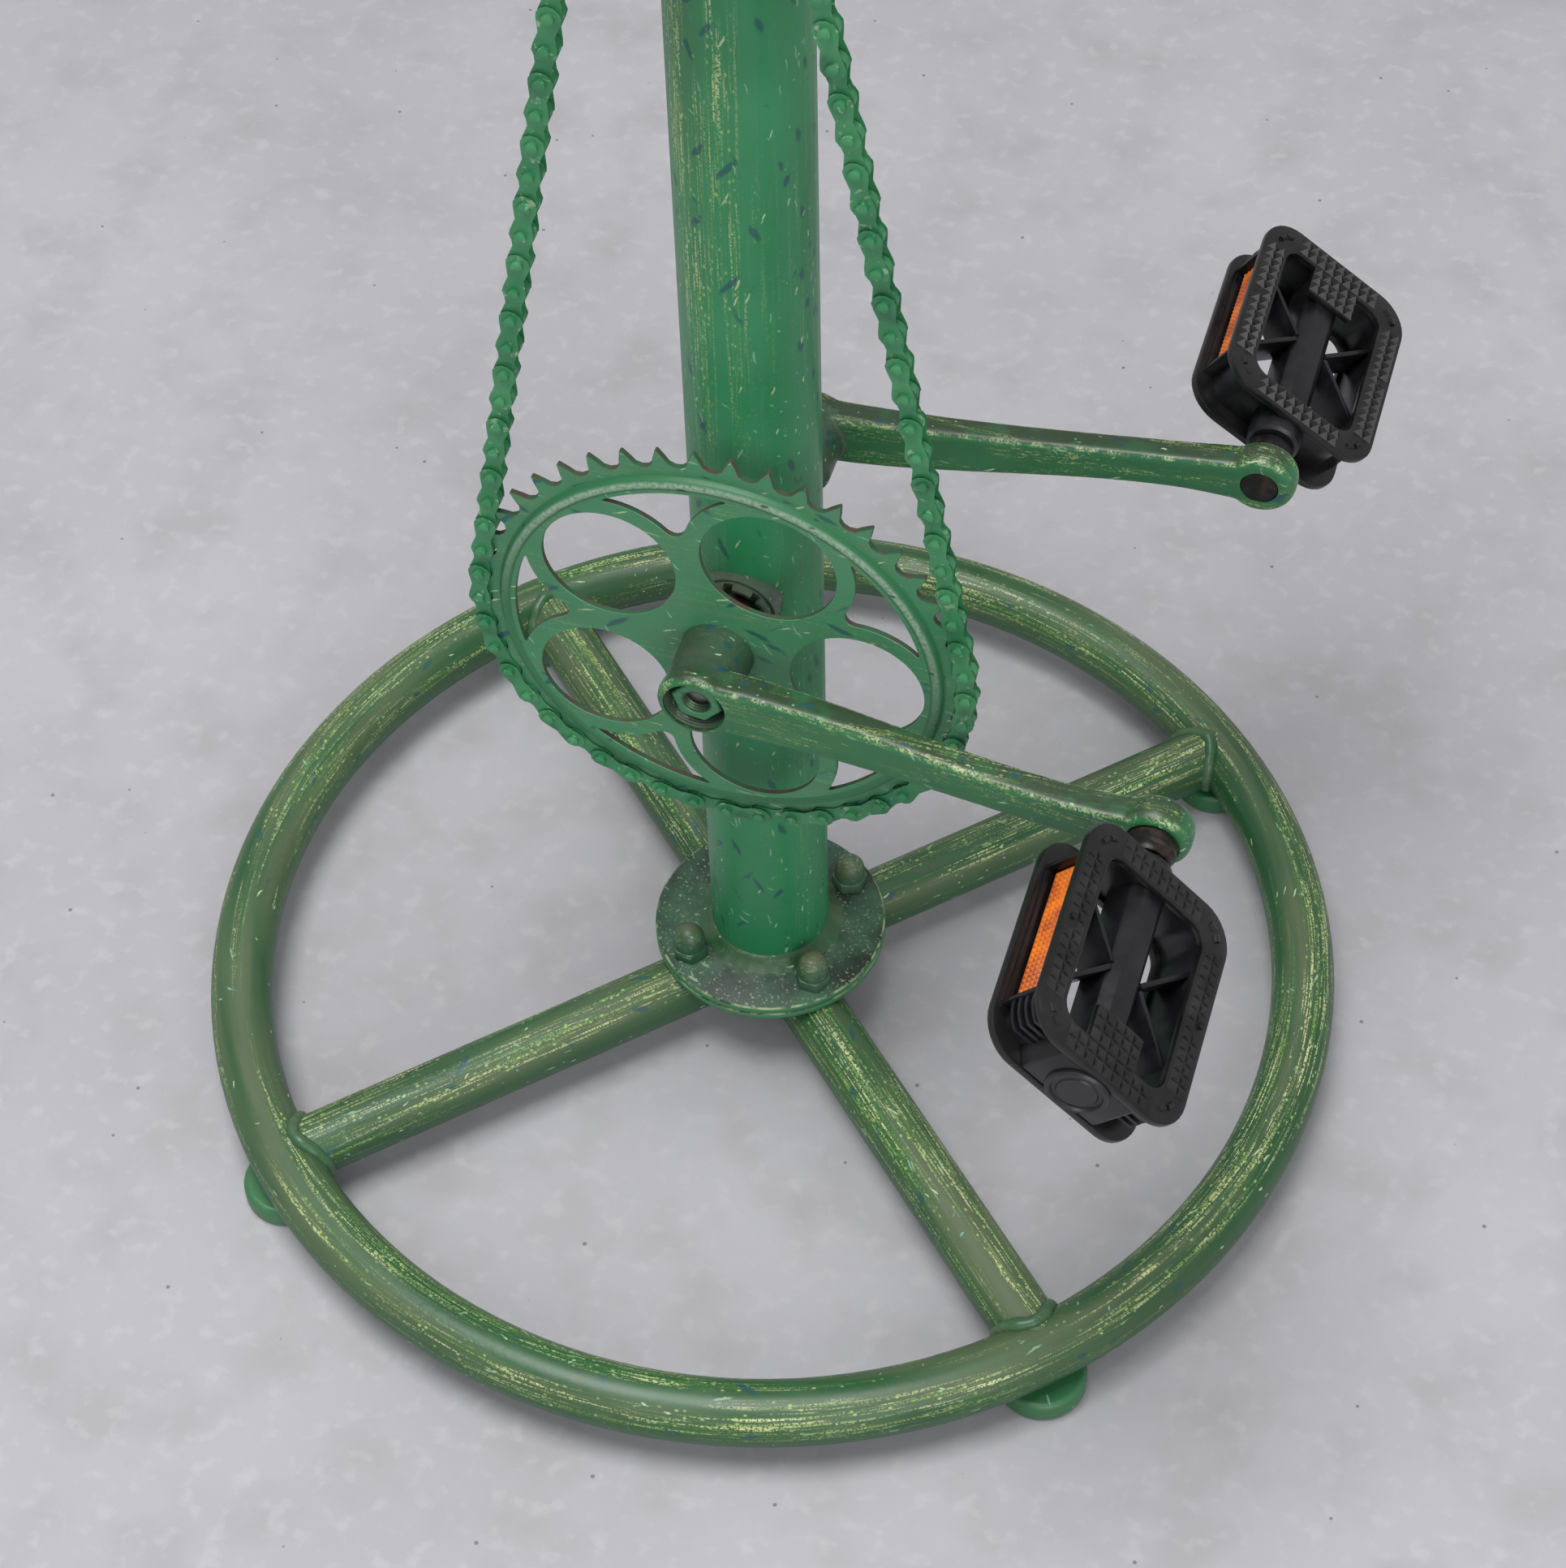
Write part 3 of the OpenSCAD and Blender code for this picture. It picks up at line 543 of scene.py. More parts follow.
def post_flow(tree, place):
    """Flow up the post."""
    x, y, z = axes(tree, place)
    return add(tree, "CombineXYZ", {0: z, 1: x, 2: y})[0]


def post_rub(tree, place):
    """Hands and shoes rub the upper post, most of all on its drive side."""
    x, y, z = axes(tree, place)
    high = band(tree, z, 0.30, 0.40)
    toward = calc(tree, "ADD", product(tree, x, 0.66), product(tree, y, 0.75))
    face = band(tree, toward, -0.35 * post_r, -0.95 * post_r)
    return calc(tree, "MULTIPLY_ADD", product(tree, high, face), 0.95, 0.10)


post_finish = enamel("post_enamel", post_flow, post_rub, wear=1.2, glaze=0.3, marks=1.9, deep=(37, 128, 81),
                     light=(50, 143, 92))
finish_node("post", post_finish)

weld_h = 4.6 * mm
weld_w = 6.5 * mm
foot_weld = turned([
    (post_r - 1 * mm, flange_high.z), (post_r + weld_w, flange_high.z),
    (post_r + 0.62 * weld_w, flange_high.z + 0.3 * weld_h),
    (post_r + 0.25 * weld_w, flange_high.z + 0.62 * weld_h), (post_r, flange_high.z + weld_h),
    (post_r - 1 * mm, flange_high.z + weld_h)], steps=120)
for vert in foot_weld.verts:
    turn = math.atan2(vert.co.y, vert.co.x)
    radius = math.hypot(vert.co.x, vert.co.y)
    if radius > post_r + 0.1 * mm:
        grown = post_r + (radius - post_r) * lumps(turn, 1.3) * (0.85 + 0.06 * math.sin(31 * turn))
        vert.co.x *= grown / radius
        vert.co.y *= grown / radius
finish_piece(foot_weld, "post_foot_weld", "stand", [weld_finish], ["post_weld"], sharp=60)

# ---- Bracket shell, cups, bearings and axle ----
# A short tube crosses the post for the crank's bearings. Screwed cups with notched rims close it,
# dusty with grease, and the bare steel axle runs through.


def ground_steel(name, shade, rough):
    """Bare machined steel, slightly streaked."""
    material, tree, shader, place = new_finish(name)
    tint = patches(tree, place, 0.01, 4.0, 0.35, 0.7)
    dark = tuple(int(0.72 * c) for c in shade)
    coat(tree, shader, lay(tree, tint, dark, shade), tint, 0.12, rough)
    shader.inputs["Metallic"].default_value = 1.0
    raise_grain(tree, shader, cloud(tree, place, 0.0015, 3.0), 0.12, 0.2 * mm)
    return material


greasy_enamel = enamel("greasy_enamel", plain_flow, wear=0.2, glaze=1.6, marks=1.6, deep=(42, 52, 42),
                       light=(76, 100, 84))
bearing_steel = ground_steel("bearing_steel", (176, 174, 168), 0.28)
greasy_steel = ground_steel("greasy_steel", (92, 80, 68), 0.5)
for name in ("bearing_right", "bearing_left", "crank_axle"):
    finish_node(name, bearing_steel)
finish_node("bracket_shell", greasy_enamel)


def mirror_y(side):
    """Leaves a part on the +Y side, or mirrors it to the -Y side."""
    return Matrix.Diagonal((1, side, 1, 1))


outward = swing(-90, "X")
shell_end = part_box("bracket_shell")[1].y
cup_r = (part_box("bracket_cup_left")[1].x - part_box("bracket_cup_left")[0].x) / 2
cup_bore = 8.2 * mm
land_in = 11.8 * mm
land_h = 2.4 * mm
lands = 8


def cup_land(number):
    """One raised land of a cup's rim; the gaps between the lands take the spanner."""
    land = bmesh.new()
    low = shell_end + 0.6 * mm
    high = low + land_h
    corners = [swing(360 / lands * number, "Z") @ Vector((r, 0, h)) for r, h in (
        (land_in, low), (cup_r, low), (cup_r, high - 0.7 * mm), (cup_r - 0.7 * mm, high),
        (land_in + 0.4 * mm, high), (land_in, high - 0.4 * mm))]
    verts = [land.verts.new(corner) for corner in corners]
    edges = [land.edges.new((verts[k - 1], verts[k])) for k in range(len(verts))]
    bmesh.ops.spin(land, geom=verts + edges, cent=(0, 0, 0), axis=(0, 0, 1),
                   angle=2 * math.pi / lands * 0.68, steps=6, use_merge=False)
    bmesh.ops.holes_fill(land, edges=[e for e in land.edges if e.is_boundary], sides=0)
    return land


cup_deep = 9.5 * mm
sleeve_bore = 7.4 * mm
sleeve_end = shell_end + 14.5 * mm
axle_z = (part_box("crank_axle")[0].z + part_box("crank_axle")[1].z) / 2
for hand, side in (("right", -1), ("left", 1)):
    on_axle = shift(0, 0, axle_z) @ mirror_y(side) @ outward
    cup = bmesh.new()
    put(cup, turned([
        (cup_bore, shell_end - cup_deep), (cup_r - 1.4 * mm, shell_end - cup_deep),
        (cup_r - 1.4 * mm, shell_end + 0.1 * mm), (cup_r, shell_end + 0.1 * mm),
        (cup_r, shell_end + 0.8 * mm), (land_in, shell_end + 0.8 * mm),
        (land_in - 0.8 * mm, shell_end + 0.2 * mm), (cup_bore, shell_end + 0.2 * mm)]), on_axle)
    for number in range(lands):
        put(cup, cup_land(number), on_axle)
    finish_piece(cup, f"bracket_cup_{hand}_notched", "stand", [greasy_enamel],
                 [f"bracket_cup_{hand}"], sharp=40)
    sleeve = turned([
        (sleeve_bore, shell_end + 0.6 * mm), (9.0 * mm, shell_end + 0.6 * mm),
        (9.6 * mm, shell_end + 1.2 * mm), (9.6 * mm, shell_end + 6 * mm),
        (10.2 * mm, shell_end + 6.6 * mm), (10.2 * mm, sleeve_end), (sleeve_bore, sleeve_end)], steps=48)
    bmesh.ops.transform(sleeve, verts=sleeve.verts, matrix=on_axle)
    finish_piece(sleeve, f"axle_sleeve_{hand}", "crankset", [greasy_steel])

# ---- Chainring ----
# A stamped steel plate with 44 pointed teeth. Its disc is pressed proud of the toothed rim, with a
# beaded step between them, and has five round holes and five windows with browned edges.

pitch = 12.7 * mm
ring_teeth = 44
ring_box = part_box("chainring")
axle_h = (ring_box[0].z + ring_box[1].z) / 2
chain_y = (ring_box[0].y + ring_box[1].y) / 2
plate_t = ring_box[1].y - ring_box[0].y
sheet_t = 2.2 * mm


def pitch_radius(teeth):
    """Radius of the circle on which the chain's pins lie round a wheel."""
    return pitch / (2 * math.sin(math.pi / teeth))


def toothed_loop(teeth, gullet_r, over):
    """Outline of a chain wheel, with a gullet facing straight down."""
    outline = []
    step = 2 * math.pi / teeth
    centre_r = pitch_radius(teeth)
    tip_half = 0.36 * mm
    for tooth in range(teeth):
        turn = -math.pi / 2 + tooth * step
        out = Vector((math.cos(turn), math.sin(turn), 0))
        along = Vector((-out.y, out.x, 0))
        for beta in (-82, -48, -16, 16, 48, 82):
            angle = math.radians(beta)
            outline.append(centre_r * out + gullet_r * (math.sin(angle) * along - math.cos(angle) * out))
        tip = turn + step / 2
        tip_out = Vector((math.cos(tip), math.sin(tip), 0))
        tip_along = Vector((-tip_out.y, tip_out.x, 0))
        for side in (-1, 1):
            outline.append((centre_r + over) * tip_out + side * tip_half * tip_along)
    return outline


def circle_loop(centre, radius, count=48):
    """Outline of a round hole."""
    return [Vector((centre[0] + radius * math.cos(2 * math.pi * k / count),
                    centre[1] + radius * math.sin(2 * math.pi * k / count), 0)) for k in range(count)]


def window_loop(turn, hole_circle, web_r, inner, outer):
    """A three-sided window between two round holes, bounded by the webs round them."""
    def lean(radius):
        inside = (radius ** 2 + hole_circle ** 2 - web_r ** 2) / (2 * radius * hole_circle)
        return math.radians(36) - math.acos(inside)
    rise = [inner + (outer - inner) * k / 10 for k in range(11)]
    polar = [(r, -lean(r)) for r in rise]
    polar += [(outer, lean(outer) * k / 6) for k in range(-5, 6)]
    polar += [(r, lean(r)) for r in reversed(rise)]
    return [Vector((r * math.cos(turn + a), r * math.sin(turn + a), 0)) for r, a in polar]


def thicken(bm, thick):
    """Gives a flat sheet its thickness, and stands it on Z = 0."""
    bmesh.ops.solidify(bm, geom=bm.faces[:], thickness=thick)
    low = min(v.co.z for v in bm.verts)
    bmesh.ops.translate(bm, verts=bm.verts, vec=(0, 0, -low))
    bm.normal_update()


def corners_of(face):
    """The vertices where a face's outline turns sharply."""
    verts = list(face.verts)
    picked = []
    for before, vert, after in zip(verts[-1:] + verts[:-1], verts, verts[1:] + verts[:1]):
        if (vert.co - before.co).normalized().dot((after.co - vert.co).normalized()) < 0.7:
            picked.append(vert)
    return picked


def cut_plate(loops, thick, edge, rounded=(), corner_r=0.0):
    """A stamped plate from its outline and its holes, some with rounded corners. The cut edges
    take the second finish."""
    bm = bmesh.new()
    for number, loop in enumerate(loops):
        face = bm.faces.new([bm.verts.new(point) for point in loop])
        if number in rounded:
            bmesh.ops.bevel(bm, geom=corners_of(face), offset=corner_r, affect="VERTICES", segments=3,
                            profile=0.5, material=-1)
    bmesh.ops.delete(bm, geom=bm.faces[:], context="FACES_ONLY")
    bmesh.ops.triangle_fill(bm, use_beauty=True, use_dissolve=False, edges=bm.edges[:])
    bmesh.ops.recalc_face_normals(bm, faces=bm.faces)
    thicken(bm, thick)
    for face in bm.faces:
        face.material_index = 1 if abs(face.normal.z) < 0.5 else 0
    rims = [e for e in bm.edges if len(e.link_faces) == 2
            and e.link_faces[0].material_index != e.link_faces[1].material_index]
    soften(bm, rims, edge, 1)
    return bm


def punched_edge():
    """Bare brown steel where the paint has gone from a cut edge."""
    material, tree, shader, place = new_finish("punched_edge")
    left = patches(tree, place, 0.005, 4.0, 0.40, 0.60)
    tone = lay(tree, left, (80, 68, 56), (46, 92, 62))
    coat(tree, shader, tone, left, 0.1, 0.5)
    raise_grain(tree, shader, cloud(tree, place, 0.0012, 3.0), 0.4, 0.2 * mm)
    return material


rim_r = 79.5 * mm
disc_r = 78.5 * mm
dish = 2.6 * mm


def bead_finish():
    """The pressed bead, green, with a patchy painted highlight along its crown over the upper arc and green
    below, and a few dark chips.
    """
    material, tree, shader, place = new_finish("bead_painted_highlight")
    x, _, z = axes(tree, place)
    leaning = calc(tree, "ADD", z, product(tree, x, 0.15))
    upper = band(tree, leaning, axle_h - 10 * mm, axle_h + 45 * mm)
    radius = radius_of(tree, x, calc(tree, "SUBTRACT", z, axle_h))
    crown = product(tree, band(tree, radius, rim_r - 2.2 * mm, rim_r - 1.4 * mm),
                    band(tree, radius, rim_r + 0.9 * mm, rim_r + 0.1 * mm))
    patchy = patches(tree, place, 0.0014, 3.0, 0.15, 0.60)
    # Painted highlight: pale green-white along the crown of the bead over its upper arc, where the overhead
    # light falls, broken into patches.
    tone = lay(tree, product(tree, upper, crown, patchy, 0.8), (48, 112, 72), (158, 182, 160))
    chips = dashes(tree, place, 15, 0.004, 0.2, 0.12, 1.9)
    tone = lay(tree, product(tree, chips, 0.8), tone, (36, 48, 46))
    tree.links.new(tone, shader.inputs["Base Color"])
    shader.inputs["Roughness"].default_value = 0.42
    raise_grain(tree, shader, cloud(tree, place, 0.002, 3.0), 0.3, 0.2 * mm)
    return material


def side_flow(tree, place):
    """Flow along X over a face that looks along Y."""
    x, y, z = axes(tree, place)
    return add(tree, "CombineXYZ", {0: x, 1: z, 2: y})[0]


# Its glaze lays a grey-green haze over the face, partly dust and partly a painted sheen.
wheel_finish = enamel("chainring_enamel", side_flow, wear=0.4, glaze=0.6, marks=2.8, deep=(54, 127, 85),
                      light=(70, 139, 98))
edge_finish = punched_edge()
hole_circle = 50.5 * mm
hole_r = 24.3 * mm
web = 6.5 * mm
first_hole = math.radians(67.8)
loops = [circle_loop((0, 0), disc_r, 120), circle_loop((0, 0), 11 * mm, 32)]
window_low = 55 * mm
window_high = 75 * mm
windows = []
for k in range(5):
    turn = first_hole + math.radians(72 * k)
    loops.append(circle_loop((hole_circle * math.cos(turn), hole_circle * math.sin(turn)), hole_r))
    windows.append(len(loops))
    loops.append(window_loop(turn + math.radians(36), hole_circle, hole_r + web, window_low, window_high))
facing_front = shift(0, chain_y + plate_t / 2, axle_h) @ swing(90, "X")
low = (plate_t - sheet_t) / 2
front = low + dish + sheet_t
cut_edge = 0.2 * mm
wheel = bmesh.new()
put(wheel, cut_plate([toothed_loop(ring_teeth, 4.3 * mm, 3.0 * mm), circle_loop((0, 0), rim_r, 120)],
                     sheet_t, cut_edge), facing_front @ shift(0, 0, low))
put(wheel, cut_plate(loops, sheet_t, cut_edge, windows, 2.2 * mm), facing_front @ shift(0, 0, low + dish))
step_ring = turned([
    (disc_r - 1.9 * mm, front - 0.1 * mm), (disc_r - 1.3 * mm, front + 0.3 * mm),
    (disc_r + 0.1 * mm, front + 0.5 * mm), (rim_r + 0.4 * mm, front + 0.2 * mm),
    (rim_r + 1.2 * mm, front - 0.8 * mm),
    (rim_r + 1.7 * mm, low + sheet_t + 0.3 * mm), (rim_r + 2.4 * mm, low + sheet_t - 0.1 * mm),
    (rim_r + 1.0 * mm, low + 0.1 * mm), (disc_r - 1.5 * mm, low + dish + 0.1 * mm)], steps=160)
for face in step_ring.faces:
    face.material_index = 2
put(wheel, step_ring, facing_front)
finish_piece(wheel, "chainring_plate", "crankset",
             [wheel_finish, edge_finish, bead_finish()], ["chainring"], sharp=40)

# ---- Cranks ----
# Two forged steel arms point forward as footrests. A round hub reaches in to the wheel, the arm
# sweeps outwards in a long S, and it ends in a rounded eye. The recess takes a puller's thread.

crank_l = 165 * mm
crank_tilt = math.radians(1)
hub_face = 75 * mm
eye_face = 92 * mm
arm_t = 12.5 * mm
hub_root = -chain_y + plate_t / 2
hub_d = 28 * mm
eye_d = 26 * mm
recess_r = 11.2 * mm
recess_depth = 9 * mm
eye_bore = 7.1 * mm
eye_in = eye_face - arm_t


def ease(t):
    """Runs from 0 to 1 with a level start and end."""
    return t * t * (3 - 2 * t)


def arm_middle(t):
    """How far out the arm's middle lies, at a share t of its length."""
    return hub_face + (eye_face - hub_face) * ease(t) - arm_t / 2


def knurl(radius, start, end, pitch_of_thread, depth):
    """Radius and height pairs along a threaded wall."""
    count = max(1, round((end - start) / pitch_of_thread))
    return [(radius + (depth if k % 2 else 0), start + (end - start) * k / (2 * count))
            for k in range(2 * count + 1)]


def slice_at(bm, spot, normal, **cleared):
    """Cuts a part along a plane, and gives back what the cut made."""
    everything = bm.verts[:] + bm.edges[:] + bm.faces[:]
    return bmesh.ops.bisect_plane(bm, geom=everything, plane_co=spot, plane_no=normal, **cleared)["geom_cut"]


hub_half_h = 11.2 * mm
arm_narrows = 3.6 * mm
eye_swell = 2.0 * mm
eye_from = 0.82


def forged_arm():
    """The bare arm, thinner in its middle and deeper at the hub and the eye."""
    arm = bmesh.new()
    bmesh.ops.create_cube(arm, size=1, matrix=shift(0.5, 0, 0))
    cuts = 26
    for k in range(1, cuts):
        slice_at(arm, (k / cuts, 0, 0), (1, 0, 0))
    for vert in arm.verts:
        t = vert.co.x
        half_h = hub_half_h - arm_narrows * ease(min(1, t * 1.35))
        half_h += eye_swell * max(0, t - eye_from) / (1 - eye_from)
        half_t = (arm_t / 2) * (1.0 - 0.16 * math.sin(math.pi * t))
        vert.co = (t * crank_l, arm_middle(t) + (1 if vert.co.y > 0 else -1) * half_t,
                   (1 if vert.co.z > 0 else -1) * half_h)
    long_edges = [e for e in arm.edges if abs(e.verts[0].co.x - e.verts[1].co.x) > 1 * mm]
    soften(arm, long_edges, 2.4 * mm, 3)
    return arm


def live_mesh(piece):
    """The mesh of a piece with its live modifiers worked out."""
    bpy.context.view_layer.update()
    return bpy.data.meshes.new_from_object(piece.evaluated_get(bpy.context.evaluated_depsgraph_get()))


def forged_crank(name, side):
    """The arm, its hub and its eye are blended as a forging is, then bored and threaded."""
    blank = bmesh.new()
    put(blank, forged_arm())
    barrel = hub_d / 2 - 0.8 * mm
    put(blank, turned([
        (0, hub_root - 4 * mm), (10.8 * mm, hub_root - 4 * mm), (10.8 * mm, hub_root + 0.5 * mm),
        (barrel, hub_root + 1 * mm), (barrel, hub_face - 8 * mm), (hub_d / 2, hub_face - 5 * mm),
        (hub_d / 2, hub_face - 2 * mm), (hub_d / 2 - 1.6 * mm, hub_face), (0, hub_face)],
        closed=False), outward)
    put(blank, turned([
        (0, eye_in), (eye_d / 2 - 2.4 * mm, eye_in), (eye_d / 2 - 0.6 * mm, eye_in + 1.6 * mm),
        (eye_d / 2, eye_in + 4 * mm), (eye_d / 2, eye_face - 3.4 * mm),
        (eye_d / 2 - 0.8 * mm, eye_face - 1.2 * mm), (eye_d / 2 - 2.6 * mm, eye_face), (0, eye_face)],
        closed=False), shift(crank_l, 0, 0) @ outward)
    tool = bmesh.new()
    floor_of_recess = hub_face - recess_depth
    past = 3 * mm
    put(tool, turned([(0, floor_of_recess), *knurl(recess_r, floor_of_recess + 0.5 * mm, hub_face - 1 * mm,
                                                   1.2 * mm, 0.5 * mm),
                      (recess_r + 0.2 * mm, hub_face + past), (0, hub_face + past)], closed=False), outward)
    put(tool, turned([(0, eye_in - past), (eye_bore, eye_in - past), (eye_bore, eye_face - 1 * mm),
                      (9.4 * mm, eye_face - 1 * mm), (9.9 * mm, eye_face + past), (0, eye_face + past)],
                     closed=False), shift(crank_l, 0, 0) @ outward)
    for bm in (blank, tool):
        bmesh.ops.recalc_face_normals(bm, faces=bm.faces)
    blank_object = make_object(blank, "blank")
    tool_object = make_object(tool, "tool")
    skin = blank_object.modifiers.new("skin", "REMESH")
    skin.mode = "VOXEL"
    skin.voxel_size = 1.0 * mm
    relax = blank_object.modifiers.new("relax", "SMOOTH")
    relax.factor = 0.6
    relax.iterations = 4
    bore = blank_object.modifiers.new("bore", "BOOLEAN")
    bore.operation = "DIFFERENCE"
    bore.object = tool_object
    crank = bmesh.new()
    crank.from_mesh(live_mesh(blank_object))
    bpy.data.objects.remove(blank_object)
    bpy.data.objects.remove(tool_object)
    for face in crank.faces:
        middle = face.calc_center_median()
        radius = math.hypot(middle.x, middle.z)
        outside = middle.y < hub_face - 6 * mm and radius < hub_d / 2 + 1 * mm
        in_recess = middle.y < hub_face - 0.7 * mm and radius < recess_r + 0.9 * mm
        if outside or in_recess:
            face.material_index = 1
    bmesh.ops.transform(crank, verts=crank.verts, matrix=shift(0, 0, axle_h)
                        @ mirror_y(side) @ Matrix.Rotation(-crank_tilt, 4, "Y"))
    return finish_piece(crank, name + "_arm", "crankset", [crank_finish, barrel_finish],
                        [name], sharp=42)


def arm_normal(tree):
    """How far the arm's skin faces outwards or inwards, and how far it faces up."""
    y, z = axes(tree, add(tree, "TexCoord")["Normal"])[1:]
    return calc(tree, "ABSOLUTE", y), z


def arm_edges(tree, place):
    """The rounded edges between the arm's face and its top."""
    outwards, upwards = arm_normal(tree)
    return band(tree, calc(tree, "MINIMUM", outwards, upwards), 0.30, 0.60)


def arm_top(tree, place):
    """The arm's upper side."""
    return band(tree, arm_normal(tree)[1], 0.60, 0.85)


crank_finish = enamel("crank_enamel", side_flow, edge_of=arm_edges, top_of=arm_top, wear=1.5, glaze=0.15,
                      marks=1.4, deep=(32, 100, 58), light=(48, 114, 70))
barrel_finish = enamel("barrel_glaze", plain_flow, wear=0.2, glaze=0.6, marks=1.6, deep=(44, 58, 42),
                       light=(54, 92, 66))
forged_crank("crank_right", -1)
forged_crank("crank_left", 1)

hexagon = [swing(60 * k + 12, "Z") @ Vector((9.2 * mm, 0, 0)) for k in range(6)]
nut_thick = 6.2 * mm
nut_bore = 5.2 * mm
nut_enamel = enamel("crank_nut_enamel", plain_flow, wear=0.5, glaze=0.3, marks=0.6, deep=(52, 124, 80),
                    light=(64, 136, 92))
thread_finish = ground_steel("nut_thread", (98, 122, 98), 0.42)
for name, side in (("crank_nut_right", -1), ("crank_nut_left", 1)):
    nut = bmesh.new()
    body_of_nut = cut_plate([hexagon, circle_loop((0, 0), nut_bore, 32)], nut_thick, 0.5 * mm)
    for face in body_of_nut.faces:
        face.material_index = 0
    put(nut, body_of_nut)
    thread = knurl(nut_bore - 0.5 * mm, 0.4 * mm, nut_thick - 0.4 * mm, 1.0 * mm, 0.5 * mm)
    sleeve = turned([(nut_bore + 0.1 * mm, 0.4 * mm), *thread, (nut_bore + 0.1 * mm, nut_thick - 0.4 * mm)],
                    steps=32)
    stud = turned([(0, -0.5 * mm), (nut_bore - 0.6 * mm, -0.5 * mm), (nut_bore - 0.6 * mm, 2.2 * mm),
                   (0, 2.4 * mm)], steps=32, closed=False)
    for part in (sleeve, stud):
        for face in part.faces:
            face.material_index = 1
        put(nut, part)
    seated = shift(0, hub_face - recess_depth + 0.1 * mm, 0) @ outward
    bmesh.ops.transform(nut, verts=nut.verts, matrix=shift(0, 0, axle_h) @ mirror_y(side) @ seated)
    finish_piece(nut, name + "_hexagon", "crankset", [nut_enamel, thread_finish], [name],
                 sharp=40)

# ---- Pedal spindles ----
# Blackened steel, screwed into the eyes of the cranks. The collar shows between crank and pedal,
# dull brown-black with rust and old grease.

spindle_x = crank_l * math.cos(crank_tilt)
spindle_z = axle_h + crank_l * math.sin(crank_tilt)
pedal_in = eye_face + 15 * mm
pedal_l = 88 * mm
pedal_w = 68 * mm
pedal_t = 24 * mm
pedal_out = pedal_in + pedal_l


def blacked_steel():
    """Blackened steel with brown rust coming through."""
    material, tree, shader, place = new_finish("blacked_steel")
    rust = patches(tree, place, 0.005, 5.0, 0.48, 0.68)
    coat(tree, shader, lay(tree, rust, (24, 22, 22), (56, 42, 35)), rust, 0.3, 0.34)
    shader.inputs["Metallic"].default_value = 0.35
    raise_grain(tree, shader, cloud(tree, place, 0.0012, 4.0), 0.35, 0.2 * mm)
    return material


def on_spindle(side, tilt=0.0):
    """Where a part goes that is drawn round the spindle, with +Y running outwards."""
    return shift(spindle_x, 0, spindle_z) @ mirror_y(side) @ swing(tilt, "Y")


spindle_finish = blacked_steel()
for name, side in (("pedal_spindle_right", -1), ("pedal_spindle_left", 1)):
    spindle = bmesh.new()
    put(spindle, turned([
        (0, eye_in + 0.3 * mm), (6.6 * mm, eye_in + 0.3 * mm), (7 * mm, eye_in + 0.8 * mm),
        (7 * mm, eye_face), (9 * mm, eye_face + 0.3 * mm), (9 * mm, eye_face + 4 * mm),
        (8.2 * mm, eye_face + 5 * mm), (8.2 * mm, eye_face + 7 * mm), (7.6 * mm, eye_face + 8 * mm),
        (5 * mm, eye_face + 8.4 * mm), (5 * mm, pedal_out - 8.3 * mm), (0, pedal_out - 8 * mm)],
        steps=48, closed=False), on_spindle(side) @ outward)
    finish_piece(spindle, name + "_turned", "crankset", [spindle_finish], [name])

# ---- Pedals ----
# Each is one black resin moulding: two rounded frames with rows of pyramid studs, a walled box
# between them, a flat-topped barrel for the spindle, slanted ribs, and a round cap at the end.

tread_w = 11 * mm
plate_h = 3 * mm
wall_in = 7 * mm


def rounded_rectangle(bm, length, width, radius):
    """A flat face with four rounded corners."""
    corners = [bm.verts.new((x * width / 2, y * length / 2, 0))
               for x, y in ((-1, -1), (1, -1), (1, 1), (-1, 1))]
    bm.faces.new(corners)
    bmesh.ops.bevel(bm, geom=corners, offset=radius, affect="VERTICES", segments=8, profile=0.5, material=-1)


def frame_plate(length, width, radius, inner_length, inner_width, inner_radius, thick, edge):
    """A flat frame with rounded corners outside and inside."""
    bm = bmesh.new()
    rounded_rectangle(bm, length, width, radius)
    rounded_rectangle(bm, inner_length, inner_width, inner_radius)
    bmesh.ops.delete(bm, geom=bm.faces[:], context="FACES_ONLY")
    bmesh.ops.bridge_loops(bm, edges=bm.edges[:])
    bmesh.ops.recalc_face_normals(bm, faces=bm.faces)
    thicken(bm, thick)
    rims = [e for e in bm.edges if len(e.link_faces) == 2 and e.calc_face_angle(0) > math.radians(60)]
    soften(bm, rims, edge, 2)
    return bm


def block(width, length, height, edge, place):
    """A box with softened edges, its middle at place."""
    bm = bmesh.new()
    bmesh.ops.create_cube(bm, size=1, matrix=Matrix.Diagonal((width, length, height, 1)))
    soften(bm, bm.edges[:], edge, 2)
    bmesh.ops.translate(bm, verts=bm.verts, vec=place)
    return bm


